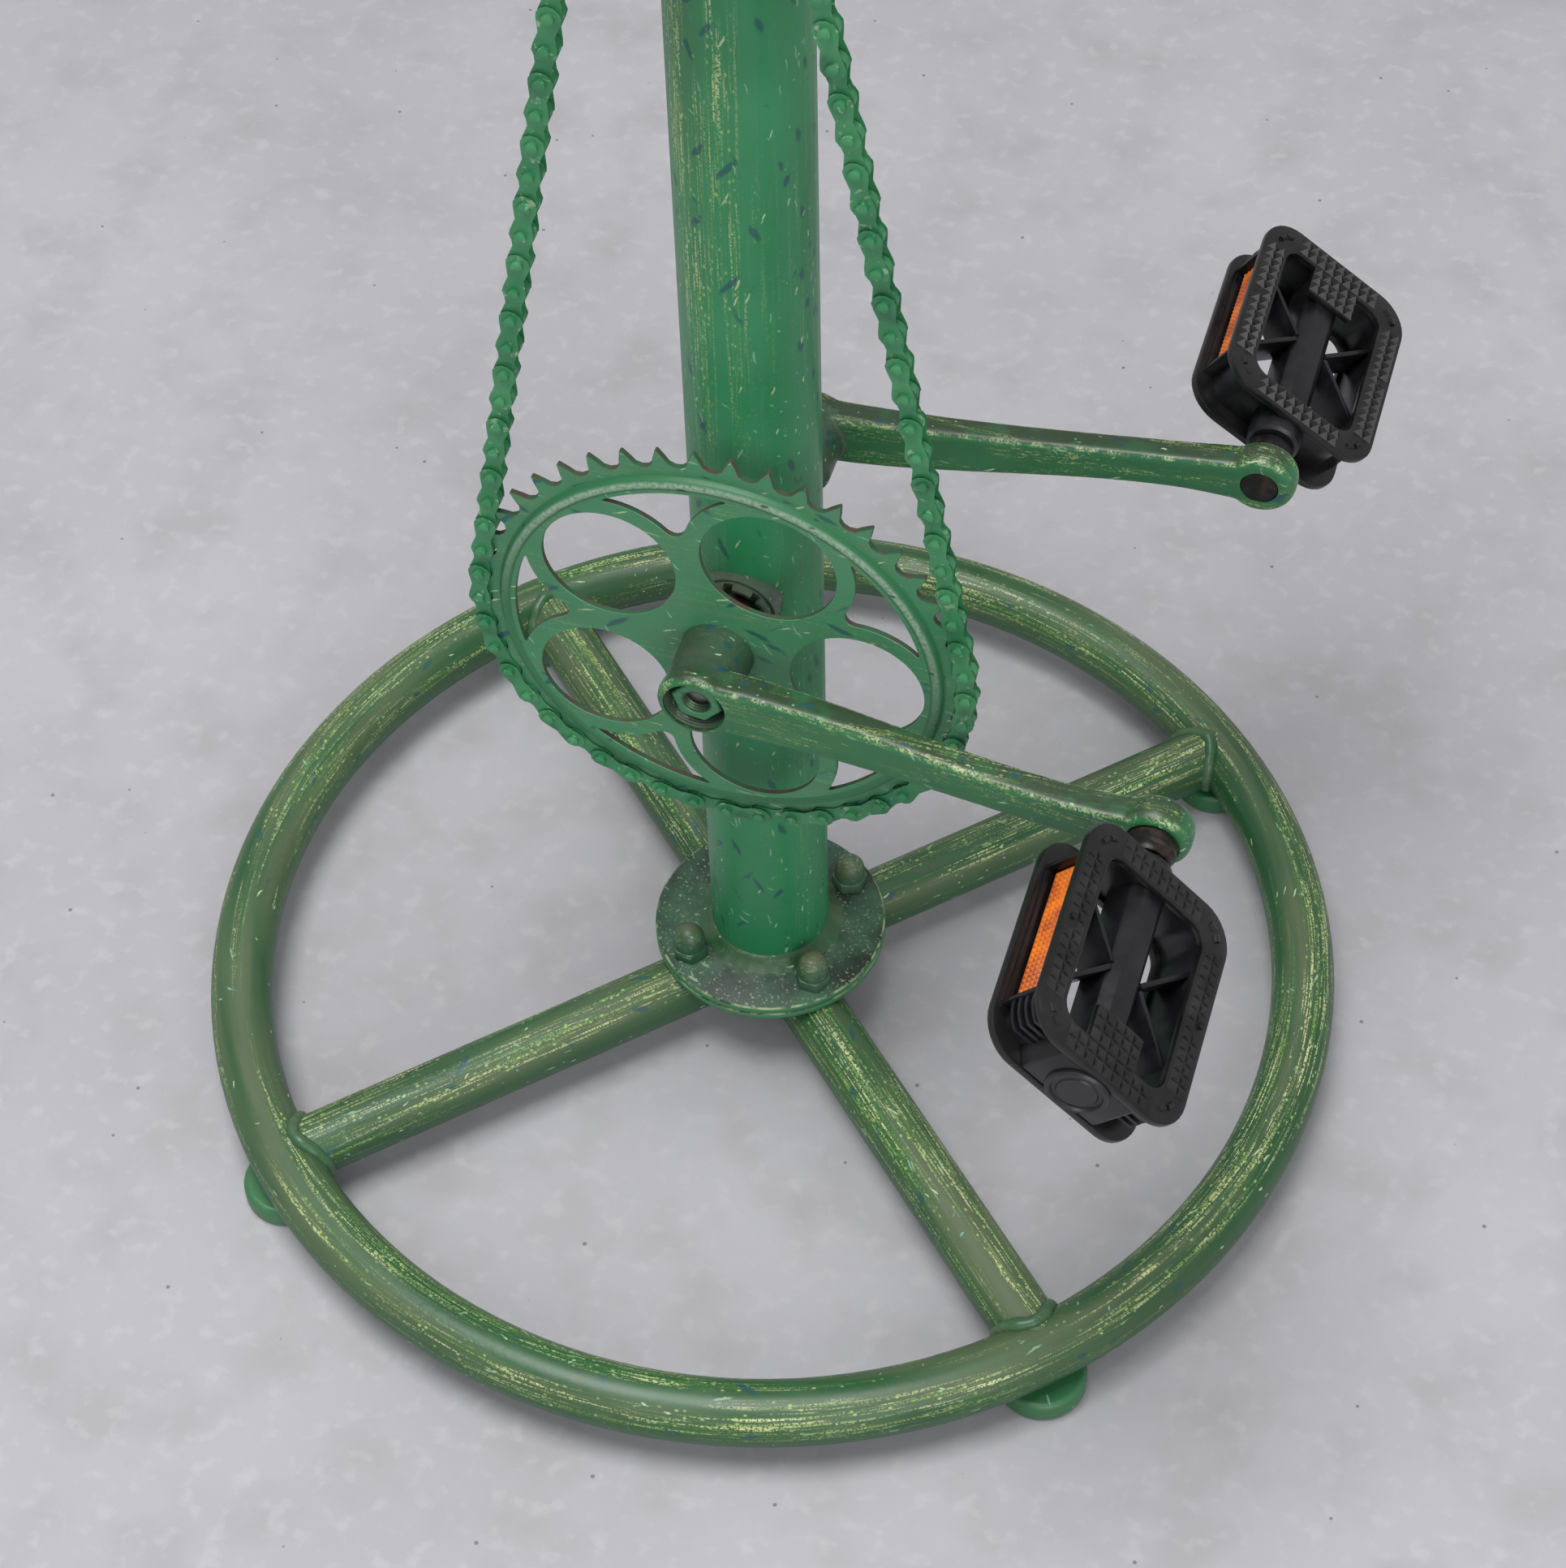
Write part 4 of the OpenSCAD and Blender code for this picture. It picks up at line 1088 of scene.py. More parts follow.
def studs(bm, top):
    """Two rows of pyramids round one tread plate, a block of them over the barrel, and mould marks."""
    base = 4.2 * mm
    tall = 2.4 * mm

    def pyramid(x, y):
        bmesh.ops.create_cone(bm, cap_ends=True, segments=4, radius1=base * 0.69, radius2=0.06 * mm,
                              depth=tall, matrix=shift(x, y, top + tall / 2 - 0.1 * mm) @ swing(45, "Z"))

    straight_l = pedal_l - 30 * mm
    straight_w = pedal_w - 30 * mm
    along = round(straight_l / base)
    over = round(straight_w / base)
    for row in (-0.5, 0.5):
        for side in (-1, 1):
            for k in range(along):
                if k == along // 2 and row > 0:
                    continue
                pyramid(side * (pedal_w / 2 - tread_w / 2 + row * base), (k - (along - 1) / 2) * base)
            for k in range(over):
                pyramid((k - (over - 1) / 2) * base, side * (pedal_l / 2 - tread_w / 2 + row * base))
    for row in range(3):
        for k in range(5):
            pyramid((k - 2) * base, pedal_l / 2 - tread_w - (row + 0.45) * base)
    for side in (-1, 1):
        bump = turned([(0, top - 0.1 * mm), (1.2 * mm, top - 0.1 * mm), (1.1 * mm, top + 0.9 * mm),
                       (0, top + 1.2 * mm)], steps=12, closed=False)
        put(bm, bump, shift(side * (pedal_w / 2 - tread_w / 2 + base / 2), 0, 0))
    for x, y in ((-1, -1), (1, 1), (-1, 1), (1, -1)):
        centre = Vector((x * (pedal_w / 2 - 14 * mm), y * (pedal_l / 2 - 14 * mm), top))
        for start, end in ((22, 40), (50, 68)):
            arc = []
            for k in range(6):
                a = math.radians(start + (end - start) * k / 5)
                arc.append(centre + 8.6 * mm * Vector((x * math.cos(a), y * math.sin(a), 0)))
            put(bm, tube(arc, 2.2 * mm, sides=8))


def pedal_box():
    """The whole moulding, with its middle at the origin and +Y running outwards."""
    bm = bmesh.new()
    window_l = pedal_l - 2 * tread_w
    window_w = pedal_w - 2 * tread_w
    tread = bmesh.new()
    put(tread, frame_plate(pedal_l, pedal_w, 14 * mm, window_l, window_w, 6.5 * mm, plate_h, 0.7 * mm))
    put(tread, block(20.5 * mm, 14 * mm, plate_h, 0.7 * mm, (0, window_l / 2 - 6 * mm, plate_h / 2)))
    studs(tread, plate_h)
    for face in tread.faces:
        face.material_index = 1
    put(bm, tread, shift(0, 0, pedal_t / 2 - plate_h), keep=True)
    put(bm, tread, shift(0, 0, plate_h - pedal_t / 2) @ swing(180, "Y"))
    deep = pedal_t - 2 * mm
    wall_l = pedal_l - 2 * wall_in
    wall_w = pedal_w - 2 * wall_in
    put(bm, frame_plate(wall_l, wall_w, 9 * mm, wall_l - 5 * mm, wall_w - 5 * mm, 6.5 * mm, deep, 0.4 * mm),
        shift(0, 0, -deep / 2))
    # flat-topped barrel that the spindle runs in
    barrel_l = wall_l - 2 * mm
    bar = bmesh.new()
    bmesh.ops.create_cube(bar, size=1, matrix=Matrix.Diagonal((15 * mm, barrel_l, 19 * mm, 1)))
    long_edges = [e for e in bar.edges if abs(e.verts[0].co.y - e.verts[1].co.y) > 1 * mm]
    soften(bar, long_edges, 3.8 * mm, 1)
    rims = [e for e in bar.edges if e.calc_face_angle(0) > math.radians(30)]
    soften(bar, rims, 0.6 * mm, 2)
    put(bm, bar)
    put(bm, turned([(5.2 * mm, -5 * mm), (8.4 * mm, -5 * mm), (9.6 * mm, -4 * mm), (10 * mm, 0),
                    (10 * mm, 9 * mm), (5.2 * mm, 9 * mm)], steps=48),
        shift(0, -pedal_l / 2, 0) @ outward)
    # slanted ribs from the barrel's middle towards the four corners
    rib_t = 1.9 * mm
    for x, y in ((-1, -1), (-1, 1), (1, -1), (1, 1)):
        a = Vector((x * 7 * mm, y * 1 * mm, 0))
        b = Vector((x * 25.5 * mm, y * 20 * mm, 0))
        span = b - a
        rib = block(rib_t, span.length, 15 * mm, 0.4 * mm, (0, 0, 0))
        put(bm, rib, Matrix.Translation((a + b) / 2)
            @ Matrix.Rotation(math.atan2(span.y, span.x) - math.pi / 2, 4, "Z"))
    # frames that hold the reflectors, and the curved ribs at the outer corners
    opening_l = pedal_l - 34 * mm
    for x in (-1, 1):
        edge_x = x * (pedal_w / 2 - wall_in + 2.3 * mm)
        for y in (-1, 1):
            put(bm, block(4.8 * mm, 1.6 * mm, pedal_t - 2 * plate_h + 0.4 * mm, 0.3 * mm,
                          (edge_x, y * (opening_l / 2 + 1 * mm), 0)))
        for z in (-1, 1):
            put(bm, block(4 * mm, opening_l + 2 * mm, 1.3 * mm, 0.3 * mm,
                          (edge_x - x * 0.3 * mm, 0, z * (pedal_t / 2 - plate_h - 0.3 * mm))))
    for z in (-4.6, -1.5, 1.6, 4.7):
        rib = frame_plate(pedal_l - 5 * mm, pedal_w - 6 * mm, 12 * mm, wall_l - 1 * mm, wall_w - 1 * mm,
                          9 * mm, 1.3 * mm, 0.3 * mm)
        slice_at(rib, (0, opening_l / 2 + 1 * mm, 0), (0, 1, 0), clear_inner=True)
        slice_at(rib, (0, pedal_l / 2 - 6 * mm, 0), (0, 1, 0), clear_outer=True)
        bmesh.ops.holes_fill(rib, edges=[e for e in rib.edges if e.is_boundary], sides=0)
        put(bm, rib, shift(0, 0, z * mm))
    # housing of the end cap, wider at the walls than at its face
    house = bmesh.new()
    bmesh.ops.create_cube(house, size=1, matrix=shift(0, 0.5, 0))
    for vert in house.verts:
        face_end = vert.co.y > 0.5
        vert.co = (math.copysign(17 if face_end else 20, vert.co.x) * mm,
                   pedal_l / 2 - (0.4 * mm if face_end else wall_in + 1 * mm),
                   math.copysign(pedal_t / 2 - plate_h + 0.5 * mm, vert.co.z))
    soften(house, house.edges[:], 1.2 * mm, 3)
    put(bm, house)
    return bm


def resin(name, shade, dusty, rough):
    """Black moulded resin with a fine moulded texture and a cast of dust."""
    material, tree, shader, place = new_finish(name)
    dust = patches(tree, place, 0.012, 6.0, 0.40, 0.68)
    coat(tree, shader, lay(tree, dust, shade, dusty), dust, 0.12, rough)
    raise_grain(tree, shader, cloud(tree, place, 0.0009, 3.0), 0.18, 0.12 * mm)
    return material


box_resin = resin("box_resin", (16, 16, 18), (30, 30, 33), 0.30)
tread_resin = resin("tread_resin", (16, 16, 17), (30, 29, 28), 0.28)
cap_resin = resin("cap_resin", (26, 26, 30), (38, 38, 43), 0.34)


def amber():
    """Clear amber lens over a mirror of small prisms."""
    material, tree, shader, place = new_finish("amber_lens")
    glint = patches(tree, place, 0.009, 3.0, 0.38, 0.66)
    coat(tree, shader, lay(tree, glint, (176, 76, 4), (232, 124, 12)), glint, -0.08, 0.24)
    shader.inputs["Coat Weight"].default_value = 0.6
    shader.inputs["Coat Roughness"].default_value = 0.08
    return material


amber_finish = amber()
lens_l = pedal_l - 34.4 * mm
lens_h = pedal_t - 2 * plate_h - 4.6 * mm


def lens_plate():
    """A lens with rows of small prisms on its face, facing +Z, its length along Y."""
    bm = bmesh.new()
    put(bm, block(lens_h, lens_l, 1.8 * mm, 0.3 * mm, (0, 0, -0.9 * mm)))
    prism = 2.1 * mm
    rows = int((lens_l - 1 * mm) / prism)
    lanes = int((lens_h - 0.6 * mm) / prism)
    for row in range(rows):
        for lane in range(lanes):
            spot = ((lane - (lanes - 1) / 2) * prism, (row - (rows - 1) / 2) * prism, 0.35 * mm)
            bmesh.ops.create_cone(bm, cap_ends=True, segments=4, radius1=prism * 0.66, radius2=0.1 * mm,
                                  depth=0.8 * mm, matrix=Matrix.Translation(spot)
                                  @ Matrix.Rotation(math.pi / 4 + 0.25, 4, "Z"))
    return bm


for hand, side, tilt in (("right", -1, 44), ("left", 1, 35)):
    body = f"pedal_{hand}_unit"
    place = on_spindle(side, tilt) @ shift(0, pedal_in + pedal_l / 2, 0)
    pedal = bmesh.new()
    put(pedal, pedal_box(), place)
    finish_piece(pedal, f"pedal_{hand}_moulding", body, [box_resin, tread_resin],
                 [f"pedal_{hand}"], sharp=30)
    cap = bmesh.new()
    cap_r = 10.6 * mm
    face_y = pedal_out + 1.4 * mm
    put(cap, turned([
        (0, pedal_out - 3 * mm), (cap_r - 0.6 * mm, pedal_out - 3 * mm), (cap_r, pedal_out - 0.2 * mm),
        (cap_r, face_y - 0.8 * mm), (cap_r - 0.7 * mm, face_y), (cap_r - 1.8 * mm, face_y),
        (cap_r - 2.3 * mm, face_y - 0.9 * mm), (cap_r - 3.6 * mm, face_y - 0.9 * mm),
        (cap_r - 4.0 * mm, face_y - 0.5 * mm), (0, face_y - 0.4 * mm)], steps=64, closed=False),
        on_spindle(side, tilt) @ outward)
    finish_piece(cap, f"pedal_cap_{hand}_disc", body, [cap_resin], [f"pedal_cap_{hand}"])
    lenses = bmesh.new()
    lens = lens_plate()
    for x in (-1, 1):
        put(lenses, lens, place @ shift(x * (pedal_w / 2 - wall_in + 1.5 * mm), 0, 0)
            @ Matrix.Rotation(x * math.pi / 2, 4, "Y"), keep=True)
    lens.free()
    finish_piece(lenses, f"reflectors_{hand}_lenses", body, [amber_finish],
                 [f"reflectors_{hand}"], sharp=20)

# ---- Chain ----
# Half-inch roller chain in 82 links, sprayed green with the rest. Waisted plates are held by pins
# with swelled heads, and every second pair of plates lies outside its neighbours.

sprocket_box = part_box("upper_sprocket")
sprocket_z = (sprocket_box[0].z + sprocket_box[1].z) / 2
sprocket_teeth = 16
strand_links = 26
big_wrap = 12
small_wrap = 3
links = 2 * (big_wrap + strand_links + small_wrap)
inner_gap = 2.2 * mm
outer_gap = 3.3 * mm
link_t = 1 * mm


def round_wheel(centre_z, teeth, steps, low):
    """Where pin number steps sits on a wheel, counted from straight below or straight above."""
    angle = 2 * math.pi / teeth * steps
    radius = pitch_radius(teeth)
    return Vector((radius * math.sin(angle), centre_z + (-radius if low else radius) * math.cos(angle)))


def pin_at(i):
    """Where pin number i sits, counted round the loop from straight below the chainring."""
    if i > links / 2:
        spot = pin_at(links - i)
        return Vector((-spot.x, spot.y))
    if i <= big_wrap:
        return round_wheel(axle_h, ring_teeth, i, True)
    if i <= big_wrap + strand_links:
        start = round_wheel(axle_h, ring_teeth, big_wrap, True)
        end = round_wheel(sprocket_z, sprocket_teeth, small_wrap, False)
        return start.lerp(end, (i - big_wrap) / strand_links)
    return round_wheel(sprocket_z, sprocket_teeth, links / 2 - i, False)


def link_plate():
    """One plate from pin to pin, its corners rolled over by the press."""
    bm = bmesh.new()
    end_r = 4.15 * mm
    waist = 2.75 * mm
    outline = []
    for centre, start, side in ((pitch, -112, 1), (0, 68, -1)):
        for k in range(8):
            a = math.radians(start + 32 * k)
            outline.append((centre + end_r * math.cos(a), end_r * math.sin(a), 0))
        outline.append((pitch / 2, side * waist, 0))
    bm.faces.new([bm.verts.new(point) for point in outline])
    thicken(bm, link_t)
    rims = [e for e in bm.edges if min(v.co.z for v in e.verts) > link_t / 2]
    soften(bm, rims, 0.35 * mm, 1)
    bm.normal_update()
    # The edge faces take the second finish, which paints a highlight on them.
    for face in bm.faces:
        face.material_index = 1 if abs(face.normal.z) < 0.9 else 0
    return bm


def chain_finish(name, bare):
    """Satin green over steel with pale worn flecks over a share of it. With bare at 1, for the plates' edge
    faces, the pale share grows into a painted highlight where an edge turns over and catches the light.
    """
    material, tree, shader, place = new_finish(name)
    blotch = patches(tree, place, 0.02, 4.0, 0.38, 0.66)
    tone = lay(tree, blotch, (52, 126, 82), (72, 146, 98))
    # Pale layer: small worn flecks where bare is 0; where bare is 1 it is larger and stronger, a painted
    # highlight on the plates' edges.
    worn = band(tree, cloud(tree, place, 0.003, 4.0), 0.62 - 0.16 * bare, 0.70 - 0.16 * bare)
    tone = lay(tree, product(tree, worn, 0.4 + 0.5 * bare), tone, (204, 222, 188))
    grease = patches(tree, place, 0.012, 3.0, 0.58, 0.72)
    tone = lay(tree, product(tree, grease, 0.5), tone, (34, 66, 56))
    coat(tree, shader, tone, blotch, 0.1, 0.34)
    raise_grain(tree, shader, cloud(tree, place, 0.0015, 3.0), 0.2, 0.2 * mm)
    return material


green_chain = chain_finish("chain_enamel", 0)
# The plates' edges get a painted highlight: pale green-white where they catch the light.
lips_painted_highlight = chain_finish("chain_worn_lips", 1)
plate = link_plate()
for name, first, gap in (("chain_outer_plates", 0, outer_gap), ("chain_inner_plates", 1, inner_gap)):
    row = bmesh.new()
    for i in range(first, links, 2):
        a = pin_at(i)
        b = pin_at((i + 1) % links)
        lean = Matrix.Rotation(math.atan2(b.y - a.y, b.x - a.x), 4, "Z")
        for face_side in (-1, 1):
            lift = gap - link_t / 2
            place = (shift(a.x, chain_y, a.y) @ swing(90, "X") @ lean
                     @ Matrix.Diagonal((1, 1, face_side, 1)) @ shift(0, 0, lift))
            put(row, plate, place, keep=True)
    finish_piece(row, name + "_pressed", "stand", [green_chain, lips_painted_highlight], [name],
                 sharp=50)
plate.free()

pin_out = 4.8 * mm
head_in = outer_gap + link_t / 2
pin_r = 1.75 * mm
head_r = 2.0 * mm
pin = turned([(0, -pin_out), (1.2 * mm, -pin_out + 0.12 * mm), (head_r, -pin_out + 0.5 * mm),
              (head_r, -head_in), (pin_r, -head_in), (pin_r, head_in), (head_r, head_in),
              (head_r, pin_out - 0.5 * mm), (1.2 * mm, pin_out - 0.12 * mm), (0, pin_out)], steps=14,
             closed=False)
pins = bmesh.new()
for i in range(links):
    spot = pin_at(i)
    put(pins, pin, shift(spot.x, chain_y, spot.y) @ outward, keep=True)
pin.free()
finish_piece(pins, "chain_pins_headed", "stand", [green_chain], ["chain_pins"], sharp=50)
finish_node("chain_rollers", green_chain)

# ---- Upper sprocket ----
# A 16-tooth wheel on a plain axle through the post, held by a nut at each end. The chain turns it
# freely, for it drives nothing.

sprocket = bmesh.new()
hub_bore = 6.1 * mm
toothed = toothed_loop(sprocket_teeth, 4.35 * mm, 1.8 * mm)
put(sprocket, cut_plate([toothed, circle_loop((0, 0), hub_bore, 32)], plate_t, 0.25 * mm),
    shift(0, chain_y + plate_t / 2, sprocket_z) @ swing(90, "X"))
hub = turned([(hub_bore, -6 * mm), (14 * mm, -6 * mm), (15.6 * mm, -5 * mm), (16 * mm, 0), (16 * mm, 3 * mm),
              (15 * mm, 4 * mm), (hub_bore, 4 * mm)], steps=64)
put(sprocket, hub, shift(0, chain_y, sprocket_z) @ swing(90, "X"))
finish_piece(sprocket, "upper_sprocket_wheel", "sprocket", [wheel_finish, edge_finish],
             ["upper_sprocket"], sharp=40)
finish_node("sprocket_boss", greasy_enamel)
finish_node("sprocket_axle", bearing_steel)
finish_node("sprocket_nuts", plain_enamel)

# ---- Seat tube, bush and collar ----
# The chromed seat tube slides in a resin bush inside the post, and a split collar with a cross
# bolt pinches it at the height wanted.


def chrome(name, rough=0.12):
    """Bright plated steel with a few dull smears."""
    material, tree, shader, place = new_finish(name)
    smear = patches(tree, place, 0.02, 5.0, 0.45, 0.70)
    coat(tree, shader, lay(tree, smear, (206, 207, 209), (176, 176, 174)), smear, 0.14, rough)
    shader.inputs["Metallic"].default_value = 1.0
    raise_grain(tree, shader, cloud(tree, place, 0.004, 2.0), 0.03, 0.1 * mm)
    return material


chromed = chrome("chromed_steel")
finish_node("seat_bush", box_resin)
finish_node("seat_collar", plain_enamel)
for name in ("collar_bolt", "seat_tube", "saddle_clamp", "clamp_cheeks", "clamp_bolt"):
    finish_node(name, chromed)

# ---- Saddle rails and springs ----
# One steel bar a side runs from the nose through the clamp and out to a coil spring, which
# carries the back of the saddle. Both are chromed.

rail_d = 7 * mm
pan_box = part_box("saddle_pan")
rail_z = post_top + 54 * mm
seat_l = 265 * mm
seat_w = 205 * mm
nose_x = 0.47 * seat_l
spring_x = -0.3 * seat_l
spring_y = 0.28 * seat_w
spring_r = 14 * mm
wire_d = 4.5 * mm
rail_gap = 44 * mm
coil_turns = 3
steps_a_turn = 48


def rounded_path(corners, bend, steps=6):
    """The corners of a bent bar, each turned into an arc-like curve."""
    path = [corners[0]]
    for before, corner, after in zip(corners, corners[1:], corners[2:]):
        start = corner + (before - corner).normalized() * bend
        end = corner + (after - corner).normalized() * bend
        for k in range(steps + 1):
            t = k / steps
            path.append(start.lerp(corner, t).lerp(corner.lerp(end, t), t))
    path.append(corners[-1])
    return path


rails = bmesh.new()
springs = bmesh.new()
for side in (-1, 1):
    corners = [Vector((nose_x - 14 * mm, side * 9 * mm, pan_box[0].z - rail_d / 2 - 0.3 * mm)),
               Vector((nose_x - 50 * mm, side * rail_gap / 2, rail_z)),
               Vector((-38 * mm, side * rail_gap / 2, rail_z)),
               Vector((spring_x, side * spring_y, rail_z - 6 * mm))]
    put(rails, tube(rounded_path(corners, 12 * mm), rail_d, sides=20))
    seat_plate = turned([(0, -2.6 * mm), (16.4 * mm, -2.6 * mm), (17 * mm, -2.2 * mm), (17 * mm, -1 * mm),
                         (16.4 * mm, -0.6 * mm), (0, -0.6 * mm)], steps=48, closed=False)
    put(rails, seat_plate, shift(spring_x, side * spring_y, rail_z))
    low = rail_z - 0.4 * mm + wire_d / 2
    high = pan_box[0].z - 0.3 * mm - wire_d / 2
    coil = bmesh.new()
    bmesh.ops.create_circle(coil, cap_ends=False, segments=16, radius=wire_d / 2,
                            matrix=shift(spring_r, 0, 0) @ swing(90, "X"))
    bmesh.ops.spin(coil, geom=coil.verts[:] + coil.edges[:], cent=(0, 0, 0), axis=(0, 0, 1),
                   dvec=(0, 0, (high - low) / (coil_turns * steps_a_turn)), angle=2 * math.pi * coil_turns,
                   steps=coil_turns * steps_a_turn, use_merge=False)
    bmesh.ops.remove_doubles(coil, verts=coil.verts, dist=0.001 * mm)
    bmesh.ops.holes_fill(coil, edges=[e for e in coil.edges if e.is_boundary], sides=0)
    put(springs, coil, shift(spring_x, side * spring_y, low))
finish_piece(rails, "saddle_rails_bent", "seat", [chromed], ["saddle_rails"], sharp=40)
finish_piece(springs, "saddle_springs_coiled", "seat", [chrome("spring_chrome", 0.2)],
             ["saddle_springs"], sharp=50)
finish_node("saddle_pan", spindle_finish)

# ---- Saddle cover ----
# Thick brown leather, stretched wet over a padded former and let dry, with a sewn edge and a
# dimpled middle. The pad under it swells it between the seams.

cover_low, cover_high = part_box("saddle_cover")
cover = bmesh.new()
cover.from_mesh(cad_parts["saddle_cover"].data)
bmesh.ops.remove_doubles(cover, verts=cover.verts, dist=0.01 * mm)
leather_piece = make_object(cover, "saddle_leather")


def settle(piece):
    """Turns a piece's live modifiers into its mesh."""
    still = live_mesh(piece)
    piece.modifiers.clear()
    piece.data = still


def smoothed(piece, times):
    """Relaxes a mesh so many times."""
    bm = bmesh.new()
    bm.from_mesh(piece.data)
    for _ in range(times):
        bmesh.ops.smooth_vert(bm, verts=bm.verts, factor=0.5, use_axis_x=True, use_axis_y=True,
                              use_axis_z=True)
    bm.to_mesh(piece.data)
    bm.free()


skin = leather_piece.modifiers.new("skin", "REMESH")
skin.mode = "VOXEL"
skin.voxel_size = 4.5 * mm
settle(leather_piece)
smoothed(leather_piece, 12)
start_shape = [v.co.copy() for v in leather_piece.data.vertices]
swell = leather_piece.modifiers.new("swell", "CLOTH").settings
swell.use_pressure = True
swell.uniform_pressure_force = 4.0
swell.effector_weights.gravity = 0.0
swell.tension_stiffness = 30
for step in range(1, 21):
    bpy.context.scene.frame_set(step)
settle(leather_piece)
bpy.context.scene.frame_set(1)
swell_limit = 5 * mm
for vert, start in zip(leather_piece.data.vertices, start_shape):
    move = vert.co - start
    if move.length > swell_limit:
        vert.co = start + move.normalized() * swell_limit

saddle_l = cover_high.x - cover_low.x
dip_deep = 4.5 * mm
groove_deep = 3.0 * mm
groove_half_w = 11 * mm
nose_droop = 7 * mm
nose_share = 0.16
for vert in leather_piece.data.vertices:
    x, y, z = vert.co
    back_share = (cover_high.x - x) / saddle_l
    rise = max(0.0, (z - cover_low.z) / (cover_high.z - cover_low.z))
    dip = dip_deep * math.exp(-((back_share - 0.45) / 0.22) ** 2)
    groove = groove_deep * math.exp(-(y / groove_half_w) ** 2) * max(0.0, min(1.0, (back_share - 0.3) * 3))
    droop = nose_droop * max(0.0, nose_share - back_share) / nose_share
    vert.co.z = z - rise * (dip + groove + droop)
    vert.co.z = min(max(vert.co.z, cover_low.z), cover_high.z + 4 * mm)
fine = leather_piece.modifiers.new("fine", "SUBSURF")
fine.levels = 1
fine.render_levels = 1
settle(leather_piece)


def leather():
    """Vegetable-tanned cowhide: pebbled grain, darker in the hollows, burnished where sat on."""
    material, tree, shader, place = new_finish("brown_leather")
    hide = patches(tree, place, 0.06, 5.0, 0.35, 0.68)
    tone = lay(tree, hide, (96, 54, 30), (134, 80, 46))
    grain = add(tree, "TexVoronoi", {"Vector": place, "Scale": 620}, feature="DISTANCE_TO_EDGE")[0]
    crease = band(tree, grain, 0.10, 0.0)
    tone = lay(tree, product(tree, crease, 0.45), tone, (58, 32, 20))
    high = band(tree, axes(tree, place)[2], cover_high.z - 9 * mm, cover_high.z)
    worn = product(tree, high, patches(tree, place, 0.03, 4.0, 0.42, 0.6))
    tone = lay(tree, product(tree, worn, 0.35), tone, (166, 110, 66))
    coat(tree, shader, tone, worn, -0.12, 0.46)
    raise_grain(tree, shader, band(tree, grain, 0.0, 0.16), 0.35, 0.3 * mm)
    return material


leather_finish = leather()
leather_piece.data.materials.clear()
leather_piece.data.materials.append(leather_finish)
leather_piece.data.shade_smooth()
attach(leather_piece, "seat")
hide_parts("saddle_cover")

# ---- Saddle edging, stitches and rivets ----
# A rolled leather edging hides the cut edge of the cover. A row of waxed linen stitches runs above
# it, and brass rivets hold the back and the nose to the pan.


def level_line(piece, height, spacing):
    """Evenly spaced points along the line where a piece would be cut level at one height."""
    bm = bmesh.new()
    bm.from_mesh(piece.data)
    cut = slice_at(bm, (0, 0, height), (0, 0, 1))
    edges = [e for e in cut if isinstance(e, bmesh.types.BMEdge)]
    unused = set(edges)
    start = max((v for e in edges for v in e.verts), key=lambda v: v.co.x)
    line = [start.co.copy()]
    vert = start
    while True:
        step = next((e for e in vert.link_edges if e in unused), None)
        if step is None:
            break
        unused.discard(step)
        vert = step.other_vert(vert)
        line.append(vert.co.copy())
    bm.free()
    lengths = [(b - a).length for a, b in zip(line, line[1:])]
    count = round(sum(lengths) / spacing)
    gap = sum(lengths) / count
    points = []
    walked = 0.0
    k = 0
    for n in range(count):
        while k < len(lengths) - 1 and walked + lengths[k] < n * gap:
            walked += lengths[k]
            k += 1
        points.append(line[k].lerp(line[k + 1], (n * gap - walked) / lengths[k]))
    return points


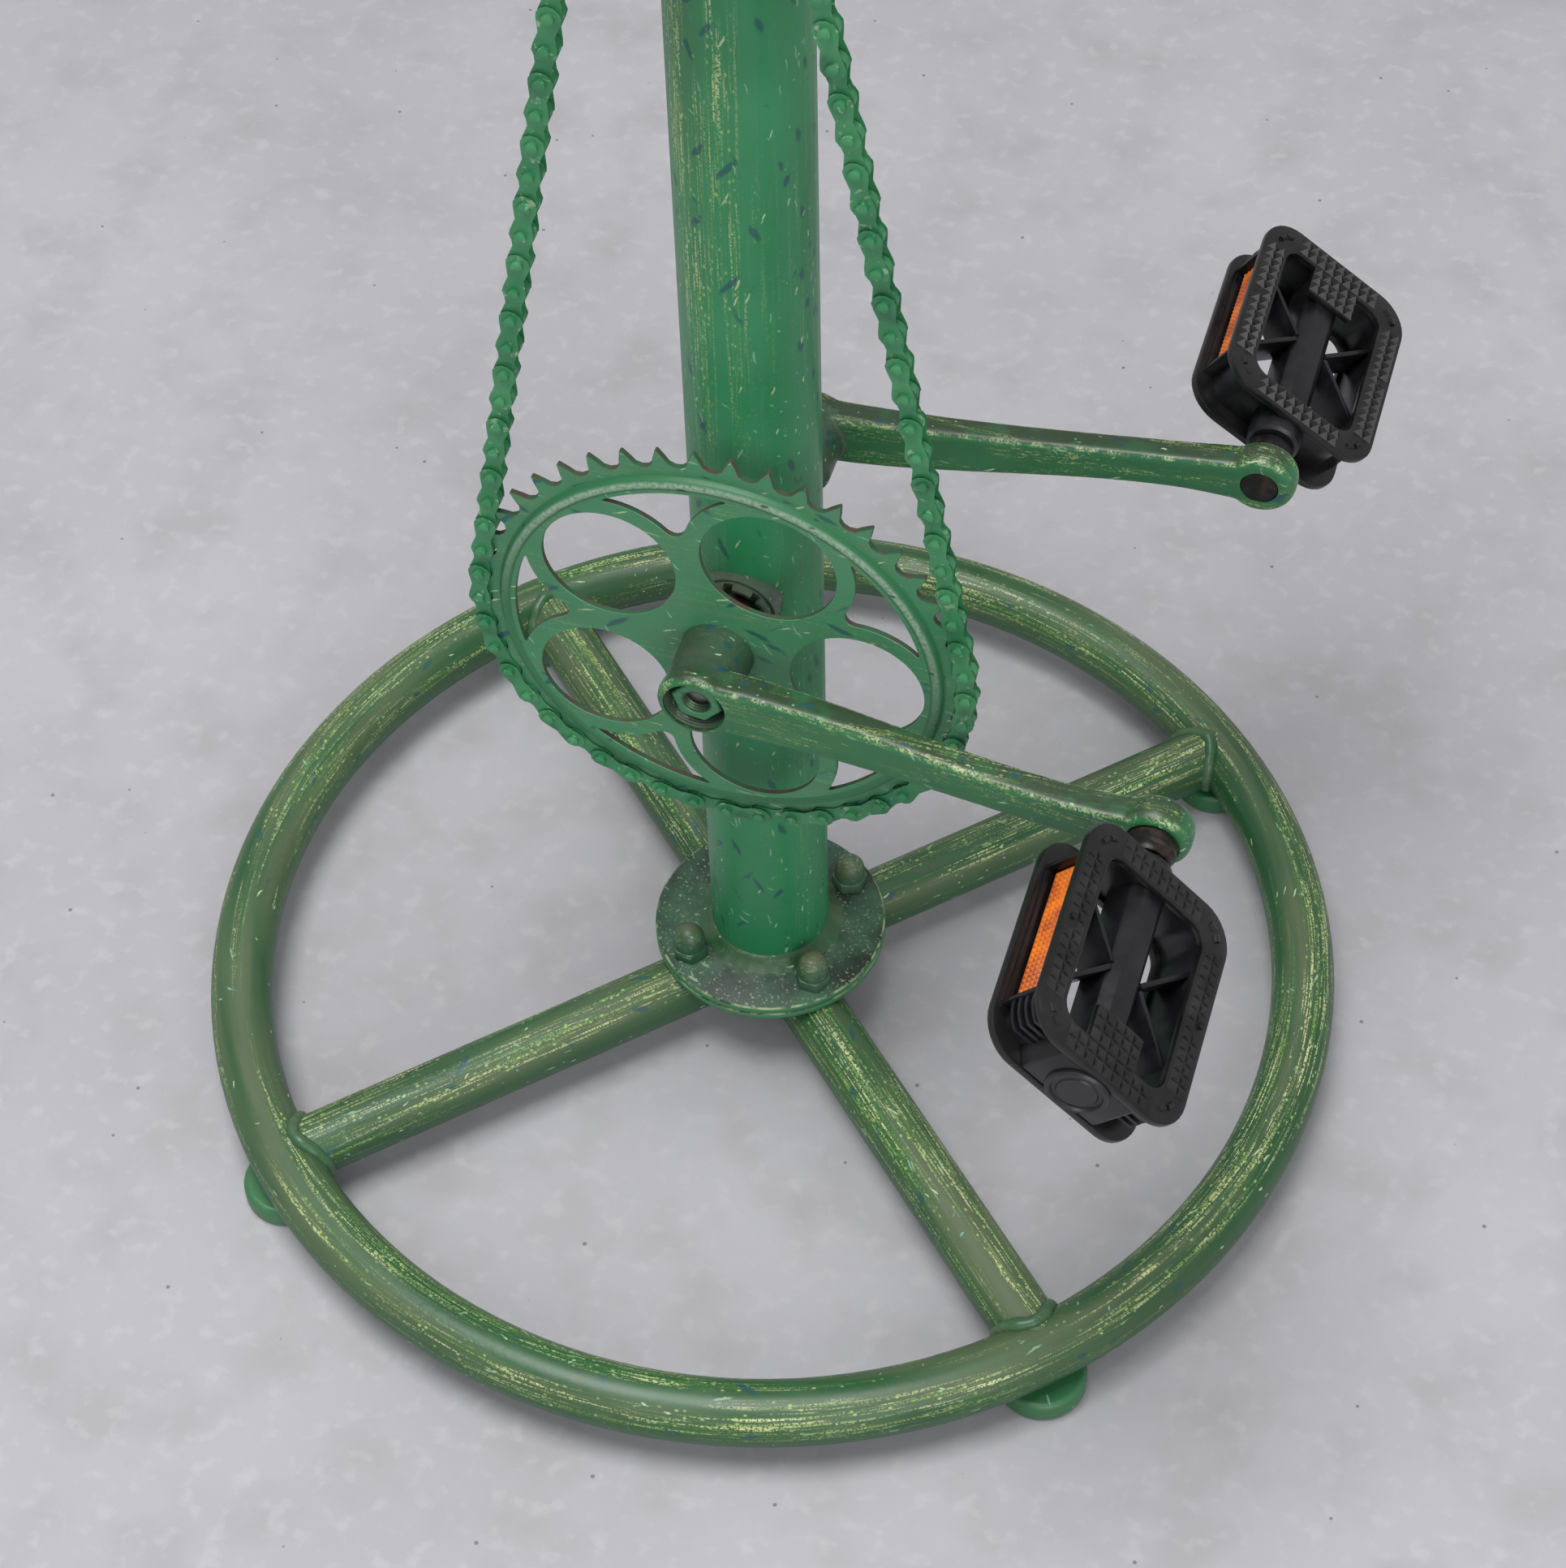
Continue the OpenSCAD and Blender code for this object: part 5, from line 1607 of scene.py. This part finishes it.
edging = bmesh.new()
edge_line = level_line(leather_piece, cover_low.z + 3.2 * mm, 4 * mm)
put(edging, tube(edge_line, 4.4 * mm, closed=True, sides=12))
finish_piece(edging, "saddle_edging", "seat", [leather_finish], sharp=80)


def linen():
    """Waxed linen thread, a little soiled."""
    material, tree, shader, place = new_finish("linen_thread")
    soil = patches(tree, place, 0.01, 4.0, 0.4, 0.7)
    tree.links.new(lay(tree, soil, (206, 186, 146), (150, 124, 88)), shader.inputs["Base Color"])
    shader.inputs["Roughness"].default_value = 0.7
    return material


stitches = bmesh.new()
stitch_line = level_line(leather_piece, cover_low.z + 8.5 * mm, 5 * mm)
for here, there in zip(stitch_line, stitch_line[1:] + stitch_line[:1]):
    along = (there - here) * 0.62
    out = Vector((along.y, -along.x, 0)).normalized()
    if out.dot(here - Vector(((cover_low.x + cover_high.x) / 2, 0, here.z))) < 0:
        out = -out
    lift = out * 0.25 * mm
    stitch = [here - lift, here + along * 0.2 + lift, here + along * 0.8 + lift, here + along - lift]
    put(stitches, tube(stitch, 1.0 * mm, sides=6))
finish_piece(stitches, "saddle_stitches", "seat", [linen()], sharp=80)

rivet_r = 4.6 * mm
rivets = bmesh.new()
rivet_line = level_line(leather_piece, cover_low.z + 17 * mm, 2 * mm)
for aim in (150, 165, 180, 195, 210, 0):
    heading = Vector((math.cos(math.radians(aim)), math.sin(math.radians(aim)), 0))
    middle = Vector((cover_low.x + 0.3 * saddle_l, 0, 0))
    spot = max(rivet_line, key=lambda point: (point - middle).normalized().dot(heading))
    stand = heading.to_track_quat("Z", "Y").to_matrix().to_4x4()
    head = turned([(0, -2 * mm), (rivet_r, -2 * mm), (rivet_r, 0.1 * mm), (rivet_r - 0.6 * mm, 0.7 * mm),
                   (2.4 * mm, 1.2 * mm), (0, 1.4 * mm)], steps=24, closed=False)
    put(rivets, head, Matrix.Translation(spot) @ stand)
brass = ground_steel("rivet_brass", (196, 156, 92), 0.3)
finish_piece(rivets, "saddle_rivets", "seat", [brass], sharp=40)
